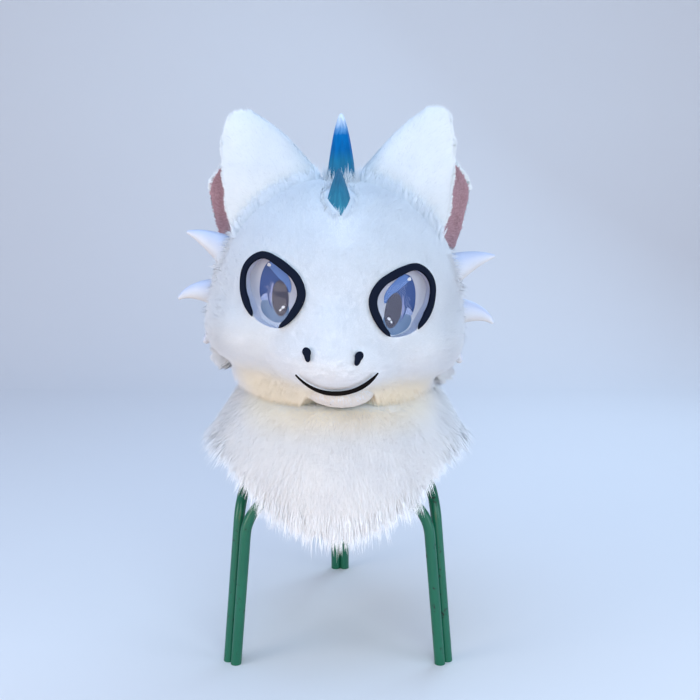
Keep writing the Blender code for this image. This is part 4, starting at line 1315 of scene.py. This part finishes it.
def ear_arcs(heights, side_name, inset_bend=0.0, inset_depth=0.0):
    """Half ellipses from the front flap's edge, round the bend, to the rear flap's edge.

    The edges lie a little inside the part's own, so that their hair ends where the part does.
    """
    side = SIDES[side_name]
    inner, front, rear, depth = ear_levels(heights).T[:, :, None]
    height = heights[:, None]
    lowest, highest = EAR_LEVELS[0, 0], EAR_LEVELS[-1, 0]
    rise = EAR_TIP_Y - EAR_MIDDLE_Y
    middle_y = EAR_MIDDLE_Y + rise * (height - lowest) / (highest - lowest)
    above = np.maximum(height - EAR_TRIM_FROM, 0) / (highest - EAR_TRIM_FROM)
    wall = np.minimum(EAR_WALL, depth * EAR_WALL_SHARE)
    bend = inner + inset_bend * wall / EAR_WALL
    half = depth / 2 - inset_depth * wall / EAR_WALL
    turn = math.pi * (np.linspace(0, 1, EAR_COLUMNS) - 0.5)
    edge = np.where(turn < 0, front - EAR_FRONT_SETBACK[side_name], rear - EAR_REAR_SETBACK)
    edge = edge - EAR_TIP_TRIM[side_name] * above
    out = bend + (edge - bend) * (1 - np.cos(turn))
    level = height - EAR_TOP_SETBACK[side_name] * above + 0 * turn
    x, y = EAR_CENTRE_X + side * out, middle_y + half * np.sin(turn)
    return moved(np.stack([x, y, level], axis=-1), ROW)


def ear_skin(side_name):
    """The padded shell of an ear with its lining; returns the rows of the outer face."""
    heights = np.linspace(EAR_LEVELS[0, 0], EAR_LEVELS[-1, 0] - 1 * MM, 46)
    outer = ear_arcs(heights, side_name)
    inner = ear_arcs(heights, side_name, EAR_BEND_WALL, EAR_WALL)
    mesh = loft("ear_skin", np.concatenate([outer, inner[:, ::-1]], axis=1))
    skin = new_piece("ear_skin_" + side_name, mesh, ["backing", "pink_backing"],
                     ["ear_" + side_name])
    column = np.arange(len(mesh.polygons)) % (2 * EAR_COLUMNS)
    pink = (column >= EAR_COLUMNS) & (column < 2 * EAR_COLUMNS - 1)
    mesh.polygons.foreach_set("material_index", pink.astype(np.int32))

    lined = heights[(heights > LINING_LOW) & (heights < LINING_HIGH)]
    face = ear_arcs(lined, side_name, EAR_BEND_WALL * 1.05, EAR_WALL * 1.05)
    back = ear_arcs(lined, side_name, EAR_BEND_WALL + LINING_THICKNESS,
                    EAR_WALL + LINING_THICKNESS)
    face, back = face[:, 2:-1], back[:, 2:-1]
    mesh = loft("ear_lining_skin", np.concatenate([face, back[:, ::-1]], axis=1))
    new_piece("ear_lining_skin_" + side_name, mesh, ["pink_backing"],
              ["ear_lining_" + side_name])
    return heights, outer


def facing_out(roots, side):
    """Roots of an ear with their normals turned away from its inner face."""
    turn = roots.facts["turn"]
    flaps = np.sign(roots.normal[:, 1] * turn + 1e-6)
    bend = np.sign(-side * roots.normal[:, 0])
    sign = np.where(np.abs(turn) > 0.25, flaps, bend)
    return Roots(roots.place, roots.normal * sign[:, None], roots.facts)


def build_ears(rng):
    for side_name, side in SIDES.items():
        heights, outer = ear_skin(side_name)
        facts = {"turn": np.broadcast_to(np.linspace(-1, 1, EAR_COLUMNS), outer.shape[:2]),
                 "height": np.broadcast_to(heights[:, None], outer.shape[:2])}
        roots = scatter(outer, EAR_HAIRS, rng, facts, closed_columns=False)
        roots = pick(roots, form_value(moved(roots.place, HEAD.inverted())) > -4 * MM)
        roots = facing_out(roots, side)
        front_edge = smooth_step(-roots.facts["turn"], 0.80, 0.98)
        rear = smooth_step(roots.facts["turn"], 0.0, 0.6)
        flow = np.zeros_like(roots.place) + np.array((0.55 * side, 0, 1.0))
        flow += front_edge[:, None] * np.array((0.9 * side, 0, -0.1))
        flow += 0.22 * wander(roots.place, 30 * MM)
        length = (6.0 + 1.5 * front_edge + 3 * rear) * MM
        fur("ear_fur_" + side_name, roots, flow, length, 0.65 * MM, 0.86, "white", rng,
            lock=0.05 + 0.15 * rear, lock_size=7 * MM, soft=0.95, bends=1)
        ear_fringe(side_name, side, rng)
        ear_seam(side_name, side, roots, rng)
        ear_pink(side_name, side, rng)


def ear_fringe(side_name, side, rng):
    """Short ragged hair along the flaps' edges, with a tuft high on the rear one."""
    lowest = EAR_LEVELS[0, 0] / MM
    span = FRINGE_TOP - lowest
    heights = np.linspace(lowest * MM, FRINGE_TOP * MM, FRINGE_ROWS)
    outer = ear_arcs(heights, side_name)
    inner = ear_arcs(heights, side_name, EAR_BEND_WALL, EAR_WALL)
    for name, column, low, high, amount, reach in FRINGES:
        line = rng.uniform((low - lowest) / span, (high - lowest) / span, amount)
        line = line * (FRINGE_ROWS - 1)
        i = np.clip(line.astype(int), 0, FRINGE_ROWS - 2)
        t = (line - i)[:, None]
        outside, inside = (arcs[i, column] * (1 - t) + arcs[i + 1, column] * t
                           for arcs in (outer, inner))
        across = rng.random(amount)[:, None]
        place = outside * (1 - across) + inside * across
        normal = (side * 1.0, -0.35 if column == 0 else 0.35, 0.15)
        flow = np.array((side * 0.5, 0, 0.7)) + 0.35 * rng.normal(0, 1, place.shape)
        lit = (side * 0.25, -0.9, 0.35)
        if name == "back":
            normal = (side * 0.8, 0.6, 0.1)
            flow = np.array((0, 0.8, 0.8)) + 0.4 * rng.normal(0, 1, place.shape)
            lit = (side * 0.8, 0.1, 0.5)
        roots = Roots(place, unit(np.array(normal) + 0 * place), {})
        length = (reach + 3 * ripple(place, 11 * MM)) * MM
        fur(f"ear_fringe_{name}_{side_name}", roots, flow, length, 0.95 * MM, 0.50, "white", rng,
            lock=0.40, lock_size=5 * MM, droop=0.05, soft=0.9, lit=np.array(lit) + 0 * place)


def ear_seam(side_name, side, roots, rng):
    """Longer hair on the head in front of an ear, that lies against it and hides the seam."""
    place = roots.place[(roots.facts["turn"] < 0.1) & (roots.facts["height"] > 480 * MM)]
    place = place[form_value(moved(place, HEAD.inverted())) < 5 * MM]
    place = place[rng.random(len(place)) < min(1.0, SEAM_HAIRS / len(place))]
    ahead = -rng.uniform(1, 22, len(place)) * MM
    above = place + np.stack([0 * ahead, ahead, 30 * MM + 0 * ahead], axis=1)
    hit = surface_hit(moved(above, HEAD.inverted()), DOWN_IN_HEAD, -SKIN_DEPTH, 2 * MM)
    normal = turned(form_normal(hit), HEAD)
    flow = np.array((0.35 * side, 0.6, 1.0)) + rng.normal(0, 0.15, hit.shape)
    length = rng.uniform(9, 26, len(hit)) * MM
    fur("ear_seam_" + side_name, Roots(moved(hit, HEAD), unit(normal + flow), {}), flow, length,
        0.8 * MM, 0.35, "seam", rng, lock=0.1, stray=0.15, soft=0.95,
        lit=normal + np.array((0, -0.8, 0.1)), bends=1)


def ear_pink(side_name, side, rng):
    """Short dusty pink pile on the inner faces of the flaps."""
    heights = np.linspace(498 * MM, 655 * MM, 40)
    inner = ear_arcs(heights, side_name, EAR_BEND_WALL * 1.15, EAR_WALL * 1.15)
    facts = {"turn": np.broadcast_to(np.linspace(-1, 1, EAR_COLUMNS), inner.shape[:2])}
    roots = facing_out(scatter(inner, PINK_HAIRS, rng, facts, closed_columns=False), side)
    roots = Roots(roots.place, -roots.normal, roots.facts)
    flow = np.array((side * 0.7, 0, 0.6)) + 0.8 * wander(roots.place, 12 * MM, (0.5, 2.2, 4.0))
    fur("ear_pink_" + side_name, roots, flow, 4 * MM, 1.2 * MM, 0.8, "pink", rng, lock=0.25,
        lock_size=6 * MM, soft=0.9)


# Horns and spikes

def build_large_horn():
    """A slightly faceted cone that narrows faster towards its tip, on a tapering foot."""
    turn = circle(96)
    facets = 1 + 0.012 * np.cos(9 * turn + 0.4)
    base = np.array(HORN_LARGE_BASE + SHIFT)
    outline = []
    for share in np.linspace(0.004, 1, 40):
        drop = HORN_TAPER_LENGTH * share ** 1.5
        radius = HORN_LARGE_RADIUS * (drop / HORN_TAPER_LENGTH) ** HORN_TAPER
        outline.append((radius, HORN_LARGE_HEIGHT - drop))
    for share in np.linspace(0.1, 1, 8):
        radius = HORN_LARGE_RADIUS * (1 - 0.16 * share)
        outline.append((radius, (HORN_LARGE_HEIGHT - HORN_TAPER_LENGTH) * (1 - share)))
    rings = [base + flat_ring(turn, radius * facets, radius * facets, height)
             for radius, height in outline]
    new_piece("horn_large_resin", loft("horn_large", rings), ["horn"],
              ["horn_large"], 60)


def build_small_horn():
    """A four-sided horn with slightly bulging faces."""
    rings = []
    for share in np.linspace(0, 1, 34):
        size = max((1 - share) ** 0.72, 0.02)
        middle = HORN_SMALL_BASE + (HORN_SMALL_TIP - HORN_SMALL_BASE) * float(share) + SHIFT
        corners = []
        for k in range(4):
            angle = HORN_SMALL_RIDGE + math.pi / 2 * k - math.pi / 2
            reach = HORN_SMALL_HALF[1 - k % 2] * size
            corners.append(np.array((math.cos(angle), math.sin(angle), 0)) * reach)
        ring = []
        for first, second in zip(corners, corners[1:] + corners[:1]):
            for t in np.linspace(0, 1, 9, endpoint=False):
                bulge = 1 + 0.10 * math.sin(math.pi * t)
                ring.append(np.array(middle) + (first * (1 - t) + second * t) * bulge)
        rings.append(ring)
    new_piece("horn_small_resin", loft("horn_small", rings), ["small_horn"],
              ["horn_small"], 30)


def spike_rings(spike, side):
    """Flattened rings along a spike's hook, with a rounded end."""
    turn = circle(32)
    root, bend, tip = spike_corners(spike, side)
    rings = []
    for t in np.linspace(0, 1, 26):
        along = unit((bend - root) * (1 - t) + (tip - bend) * t)
        up = unit(np.cross((0, 1, 0), along)) * -side
        half = spike_half(spike, t)
        rings.append(hooked(root, bend, tip, t) + up * (half * np.cos(turn))[:, None]
                     + np.array((0, SPIKE_FLATNESS, 0)) * (half * np.sin(turn))[:, None])
    centre = rings[-1].mean(axis=0)
    last = rings[-1] - centre
    for lean in np.radians((20, 40, 60, 76, 87)):
        cap = along * spike.tip_half * MM * math.sin(lean)
        rings.append(centre + last * math.cos(lean) + cap)
    return rings


def build_spikes():
    for side_name, side in SIDES.items():
        for spike in SPIKES:
            name = f"spike_{spike.name}_{side_name}"
            mesh = loft("spike", moved(spike_rings(spike, side), HEAD))
            piece = new_piece(name, mesh, ["spike"], ["cheek_" + name], 60)


# Neck skirt

def drop_share(angle):
    """One at the middle of the front or back panel, fading to zero at the sides."""
    return np.cos(np.minimum(np.abs(angle), BIB_DROP_SPREAD) / BIB_DROP_SPREAD * math.pi / 2) ** 2


def bib_points(around, t):
    """Points on the skirt's outer face, from the neck (t = 0) to the edge (t = 1)."""
    around, t = np.broadcast_arrays(np.asarray(around, float), np.asarray(t, float))
    out = np.stack([np.sin(around), -np.cos(around), 0 * around], axis=-1)
    dome = drop_share(around)
    top = BIB_TOP + BIB_SIDE_RISE * (1 - dome)
    middle = np.stack([0 * dome, 0 * dome + NECK_CENTRE_Y, top], axis=-1)
    inverse = HEAD.inverted() @ ROW
    start = moved(middle, inverse)
    neck = crossing(start, turned(out, inverse), 40 * MM, 135 * MM) - 2 * MM
    depth = np.where(np.abs(around) < math.pi / 2, BIB_FRONT, BIB_BACK)
    reach_y = depth + NECK_CENTRE_Y * np.where(out[..., 1] < 0, 1, -1)
    edge = 1 / np.hypot(out[..., 0] / BIB_HALF_WIDTH, out[..., 1] / reach_y)
    reach = neck + (edge - neck) * (dome * np.sin(t * math.pi / 2) + (1 - dome) * t)
    back_drop = BIB_BACK_DROP * drop_share(math.pi - np.abs(around))
    edge_height = BIB_SIDE_EDGE - BIB_FRONT_DROP * dome - back_drop
    fall = dome * (1 - np.cos(t * math.pi / 2)) + (1 - dome) * t
    place = middle + out * reach[..., None]
    place[..., 2] -= (top - edge_height) * fall
    return moved(place, ROW)


def bib_down(around, t, step):
    """The way down the skirt, over a step to either side."""
    return bib_points(around, np.minimum(t + step, 1)) - bib_points(around, np.maximum(t - step, 0))


def bib_normals(around, t, step=0.01):
    across = bib_points(around + step, t) - bib_points(around - step, t)
    return -unit(np.cross(across, bib_down(around, t, step)))


CORE_DEPTH = 8 * MM
THROAT_DEPTH = 16 * MM


def core_depth(around, t):
    """Thickness of the skirt's dense pile: thick at the throat and thin at the hem."""
    throat = drop_share(around) * (1 - smooth_step(t, 0.05, 0.6))
    edges = np.minimum(0.2 + 0.5 * drop_share(around) + 2.5 * t, 1)
    edges = edges * np.clip((1 - t) / 0.35, 0, 1) ** 0.6
    return (CORE_DEPTH + THROAT_DEPTH * throat) * edges


def right_share(turn):
    """One at the wearer's right side of the skirt, where its hair is longest."""
    return np.maximum(-np.sin(turn), 0) ** 4


def build_bib(rng):
    around = np.linspace(-math.pi, math.pi, BIB_COLUMNS, endpoint=False)[:, None]
    t = np.linspace(0, 1, BIB_ROWS)[None]
    outer, facing = bib_points(around, t), bib_normals(around, t)
    inner = outer - facing * BIB_WALL
    mesh = loft("bib_cloth", np.concatenate([outer, inner[:, ::-1]], axis=1), closed_rows=True)
    cloth = new_piece("neck_bib_cloth", mesh, ["bib_cloth"], ["neck_bib"])

    skin = outer + facing * (core_depth(around, t) + 1.2 * MM)[..., None]
    under = outer + facing * 0.6 * MM
    core = loft("bib_core", np.concatenate([skin, under[:, ::-1]], axis=1), closed_rows=True)
    core = new_piece("bib_fur_core", core, ["core"], ["bib_pile"])
    pieces = [core, *bib_coat(rng), bib_hem(rng)]


def bib_coat(rng):
    """The skirt's deep fur, denser in front."""
    around = np.linspace(-math.pi, math.pi, BIB_COLUMNS + 1)[:, None]
    t = np.linspace(0, 1, BIB_ROWS)[None]
    facts = {"around": around + 0 * t, "t": t + 0 * around}
    everywhere = scatter(bib_points(around, t), BIB_HAIRS, rng, facts, closed_columns=False)
    ahead = np.abs(everywhere.facts["around"]) < 0.52 * math.pi
    thin = rng.random(len(ahead)) < 0.5
    pieces = []
    for name, chosen in (("bib_fur_front", ahead), ("bib_fur_back", ~ahead & thin)):
        roots = pick(everywhere, chosen)
        turn, share = roots.facts["around"], roots.facts["t"]
        normal = bib_normals(turn, share)
        place = roots.place + normal * (0.8 * core_depth(turn, share))[:, None]
        flow = unit(bib_down(turn, share, 0.02)) + 0.16 * wander(place, 40 * MM)
        hem = smooth_step(share, 0.80, 1.0)
        top = 1 - smooth_step(share, 0.0, 0.35)
        length = 20 - 5 * hem + 2 * top + 4 * right_share(turn) * (1 - hem)
        length = (length + 3 * ripple(place, 26 * MM)) * MM
        ahead_share = (1.2 * top * drop_share(turn))[:, None]
        pieces.append(fur(name, Roots(place, normal, {}), flow, length, 0.62 * MM,
                          0.86 - 0.14 * top, "white", rng, lock=0.06 + 0.22 * hem,
                          lock_size=6 * MM, droop=0.15, stray=0.16, soft=0.96,
                          lit=normal + ahead_share * np.array((0, -1.0, 0.1)), bends=1))
    return pieces


def bib_hem(rng):
    """Long ragged locks along the skirt's edge."""
    turn = rng.uniform(-math.pi, math.pi, HEM_HAIRS)
    share = 1 - 0.16 * rng.random(HEM_HAIRS)
    normal = bib_normals(turn, share)
    place = bib_points(turn, share) + normal * (0.5 * core_depth(turn, share))[:, None]
    corner = np.exp(-((np.abs(turn) - 0.8) / 0.3) ** 2)
    length = 34 + 4 * right_share(turn) - 6 * corner + 4 * ripple(place, 17 * MM)
    length = length * rng.uniform(0.55, 1.2, HEM_HAIRS) * MM
    return fur("bib_hem_fur", Roots(place, normal, {}), unit(bib_down(turn, share, 0.02)),
               length, 0.85 * MM, 0.86, "white", rng, lock=0.3, lock_size=7 * MM, droop=0.15,
               stray=0.16, soft=0.96)


# Fur of the cheeks, neck, horns and jaw

TUFT_PAD = Block((116, -16, -66), (21, 24, 10))


def block_normal(block, place):
    """Outward directions at points of a block's skin."""
    centre, radii = measures(block)
    return unit((place - centre) / radii ** 2)


def build_cheek_tufts(rng):
    """A soft pad of pointed locks at the low corner of each cheek."""
    for side_name, side in SIDES.items():
        pad = Block((side * TUFT_PAD.centre[0], *TUFT_PAD.centre[1:]), TUFT_PAD.radii)
        rings = ellipsoid_rings(pad, 0, 40, 26)
        core = loft("cheek_tuft_core", moved(rings, HEAD))
        core = new_piece("cheek_tuft_core_" + side_name, core, ["backing"],
                         ["cheek_tuft_" + side_name])
        place = scatter(rings, TUFT_HAIRS, rng).place
        place = place[form_value(place) > -4 * MM]
        low = smooth_step(pad.centre[2] * MM - place[:, 2], -8 * MM, 8 * MM)
        flow = np.array((side * 1.0, 0.1, -0.5)) + 0 * place
        length = (15 + 6 * low + 5 * ripple(place, 12 * MM)) * MM
        lit = 0.6 * turned(form_normal(place), HEAD) + np.array((side * 0.35, -0.6, 0.45))
        fur("cheek_tuft_fur_" + side_name, head_roots(place, block_normal(pad, place)),
            turned(flow, HEAD), length, 0.75 * MM, 0.58, "face", rng, lock=0.6,
            lock_size=9 * MM, stray=0.15, soft=0.95, lit=lit)


def build_collar(rng):
    """Long neck hair that hangs over the skirt's top and hides the seam between them."""
    local = scatter(head_rings(), COLLAR_ROOTS, rng).place
    world = moved(local, HEAD)
    keep = (world[:, 2] > 322 * MM) & (world[:, 2] < 352 * MM) & (world[:, 1] < 60 * MM)
    keep &= ~jaw_inside(local) & (mouth_distance(local) > 8 * MM)
    place, normal = world[keep], turned(form_normal(local[keep]), HEAD)
    out = unit(normal * np.array((1, 1, 0.0)))
    flow = np.array((0, 0, -1.0)) + 0.45 * out
    length = rng.uniform(14, 42, len(place)) * MM
    fur("neck_collar", Roots(place, out, {}), flow, length, 0.8 * MM, 0.80, "white", rng,
        lock=0.12, lock_size=9 * MM, droop=0.15, stray=0.15, soft=0.97,
        lit=0.7 * normal + np.array((0, -0.8, 0.4)))


def build_cheek_fringe(rng):
    """Short locks that stand off the sides of the cheeks and round the feet of the spikes."""
    place = scatter(head_rings(), FRINGE_ROOTS, rng).place
    x, y, z = place.T
    keep = (np.abs(x) > 116 * MM) & (np.abs(y - 4 * MM) < 42 * MM)
    keep &= (z > -66 * MM) & (z < 78 * MM) & (spike_distance(place) > -1 * MM)
    place = place[keep]
    normal = form_normal(place)
    flow = np.sign(place[:, :1]) * np.array((1.0, 0, 0)) + np.array((0, 0, -0.55))
    flow = flow + 0.25 * rng.normal(0, 1, place.shape)
    length = (12 + 5 * ripple(place, 9 * MM)) * MM
    fur("cheek_fringe", head_roots(place, normal), turned(flow, HEAD), length, 0.8 * MM, 0.42,
        "face", rng, lock=0.5, lock_size=6 * MM, soft=0.97,
        lit=turned(normal, HEAD) + np.array((0, -0.35, 0.1)))


def build_horn_wisps(rng):
    """Fine longer hairs that rise round the feet of the horns."""
    places, normals, flows, lengths = [], [], [], []
    for base, half, count, rise, longest in WISPS:
        turn = rng.uniform(0, math.tau, count)
        reach = rng.uniform(0.98, 1.22, count)
        offset = flat_ring(turn, *half) * reach[:, None] * MM
        top = np.array(base + SHIFT) + offset + np.array((0, 0, 60 * MM))
        local = moved(top, HEAD.inverted())
        hit = surface_hit(local, DOWN_IN_HEAD, -SKIN_DEPTH, 2 * MM)
        places.append(moved(hit, HEAD))
        normals.append(turned(form_normal(hit), HEAD))
        inward = unit(np.array(base + SHIFT) - places[-1])
        flows.append(np.array((0, 0, rise)) + 0.35 * inward + rng.normal(0, 0.25, (count, 3)))
        lengths.append(rng.uniform(8, longest, count) * MM)
    place, normal = np.concatenate(places), np.concatenate(normals)
    rise = unit(np.concatenate(flows))
    side = unit(np.cross(rise, normal) + 1e-3)
    roots = Roots(place, unit(np.cross(side, rise)) * 0.35 + rise * 0.94, {})
    fur("horn_wisps", roots, rise + side * 0.2, np.concatenate(lengths), 0.7 * MM, 0.25, "face",
        rng, lock=0.35, lock_size=6 * MM, soft=0.95,
        lit=0.3 * normal + np.array((0, -0.6, 0.55)))


def build_jaw_fur(rng):
    place = scatter(jaw_rings(), JAW_HAIRS, rng).place
    place = place[(form_value(place) > -1 * MM) & (mouth_distance(place) > 0.6 * MM)]
    away = place - measures(JAW)[0]
    flow = np.array((0, 0.8, -0.6)) + 0.9 * away / 0.05
    fur("jaw_fur", head_roots(place, block_normal(JAW, place)), turned(flow, HEAD), 4.2 * MM,
        0.9 * MM, 0.85, "jaw", rng, lock=0.05, soft=0.93)


# Stand

def rounded_path(corners, bend, steps=14):
    """A polyline with its inner corners rounded to the given bend radius."""
    path = [corners[0]]
    for before, corner, after in zip(corners, corners[1:], corners[2:]):
        towards = (before - corner).normalized()
        onwards = (after - corner).normalized()
        half = towards.angle(onwards) / 2
        tangent = bend / math.tan(half)
        middle = corner + (towards + onwards).normalized() * (bend / math.sin(half))
        first = corner + towards * tangent - middle
        last = corner + onwards * tangent - middle
        turn = first.angle(last)
        for i in range(steps + 1):
            share = i / steps
            path.append(middle + first * (math.sin((1 - share) * turn) / math.sin(turn))
                        + last * (math.sin(share * turn) / math.sin(turn)))
    path.append(corners[-1])
    return path


def tube(name, path, radius, sides=28):
    """A round tube along a path, cut off level at the floor."""
    path = np.array(path)
    along = unit(np.gradient(path, axis=0))
    side = unit(np.cross(along[0], (0, 1, 0.001)))
    turn = circle(sides)
    rings = []
    for point, direction in zip(path, along):
        side = unit(side - direction * np.dot(side, direction))
        other = np.cross(direction, side)
        round_it = np.cos(turn)[:, None] * side + np.sin(turn)[:, None] * other
        rings.append(point + radius * round_it)
    for end in (0, -1):
        ring, lean = rings[end], along[end]
        rings[end] = ring - lean * (ring[:, 2] / lean[2])[:, None]
    return loft(name, moved(rings, ROW))


def mirrored(points, side):
    return [Vector((side * point.x, point.y, point.z)) for point in points]


def build_stand():
    top = STAND_TOP - RING_THICKNESS - TUBE_RADIUS + TUBE_BITE
    shoulder = Vector((SHOULDER_FRONT_X, FOOT_FRONT.y, top))
    front = mirrored((FOOT_FRONT, shoulder), -1) + [shoulder, FOOT_FRONT]
    hoops = [("stand_hoop_front", rounded_path(front, BEND_FRONT))]
    back = Vector((TUBE_RADIUS - TUBE_BITE / 2, BACK_SHOULDER_Y, top))
    corners = [FOOT_FRONT + PAIR_OFFSET, Vector((*SIDE_SHOULDER, top)),
               Vector((*SIDE_MIDDLE, top)), back, Vector((back.x, BACK_FOOT_Y, 0))]
    for side_name, side in SIDES.items():
        path = rounded_path(mirrored(corners, side), BEND_SIDE / 2)
        hoops.append(("stand_hoop_" + side_name, path))
    for name, path in hoops:
        new_piece(name, tube(name, path, TUBE_RADIUS), ["tube"], ["stand_frame"],
                  50)
    turn = circle(96)
    outside, inside = RING_OUTER - RING_EDGE, RING_INNER + RING_EDGE
    section = [(RING_OUTER, 0.8), (outside, 0), (inside, 0), (RING_INNER, 0.8),
               (RING_INNER, 3.2), (inside, 4), (outside, 4), (RING_OUTER, 3.2)]
    rings = [flat_ring(turn, r, r, STAND_TOP - RING_THICKNESS + z * MM) for r, z in section]
    rings = moved(np.swapaxes(np.array(rings), 0, 1), ROW)
    new_piece("stand_ring", loft("stand_ring", rings, closed_rows=True), ["tube"],
              ["stand_frame"], 30)


# Studio

def stage_paint(name, colour):
    material, tree, base = shader(name, 0.75, Specular_IOR_Level=0.2)
    dark = tuple(0.985 * c for c in colour)
    coloured(tree, base, mix(tree, noise(tree, 3, 3), dark, colour))
    return material


def build_stage():
    """A pale floor that curves up into a plain backdrop."""
    profile = [(FLOOR_FRONT_Y, 0.0), (FLOOR_BACK_Y, 0.0)]
    for lean in np.radians(np.linspace(0, 90, 12)):
        profile.append((FLOOR_BACK_Y + FLOOR_BEND * math.sin(lean),
                        FLOOR_BEND - FLOOR_BEND * math.cos(lean)))
    profile.append((FLOOR_BACK_Y + FLOOR_BEND, WALL_TOP))
    verts = [(x, y, z) for x in (-FLOOR_HALF, FLOOR_HALF) for y, z in profile]
    count = len(profile)
    faces = [(i, count + i, count + i + 1, i + 1) for i in range(count - 1)]
    mesh = bpy.data.meshes.new("studio_floor")
    mesh.from_pydata(verts, [], faces)
    mesh.shade_smooth()
    floor = linked("studio_floor", mesh)
    mesh.materials.append(stage_paint("studio_floor", (0.78, 0.79, 0.81)))


def area_light(name, place, aim, size, energy, colour):
    data = bpy.data.lights.new(name, "AREA")
    data.shape = "RECTANGLE"
    data.size, data.size_y = size
    data.energy = energy
    data.color = colour
    light = linked(name, data)
    light.location = place
    light.rotation_euler = (Vector(aim) - Vector(place)).to_track_quat("-Z", "Y").to_euler()


def build_studio():
    scene = bpy.context.scene
    build_stage()
    for light in LIGHTS:
        area_light(*light)
    world = bpy.data.worlds.new("studio")
    world.use_nodes = True
    background = world.node_tree.nodes["Background"]
    background.inputs["Color"].default_value = WORLD_COLOUR
    background.inputs["Strength"].default_value = WORLD_STRENGTH
    scene.world = world
    scene.view_settings.view_transform = "Standard"
    data = bpy.data.cameras.new("photo_camera")
    data.lens = CAMERA_LENS
    data.sensor_width = 36
    camera = linked("photo_camera", data)
    camera.location = CAMERA_PLACE + SHIFT
    camera.rotation_euler = (CAMERA_TILT, 0, 0)
    scene.camera = camera


def main():
    rng = np.random.default_rng(SEED)
    build_studio()
    build_head_skin()
    build_eyes()
    build_mouth()
    build_nostrils()
    build_jaw()
    build_ears(rng)
    build_large_horn()
    build_small_horn()
    build_spikes()
    build_bib(rng)
    build_head_fur(rng)
    build_jaw_fur(rng)
    build_cheek_tufts(rng)
    build_collar(np.random.default_rng(COLLAR_SEED))
    build_cheek_fringe(rng)
    build_horn_wisps(rng)
    build_stand()


main()
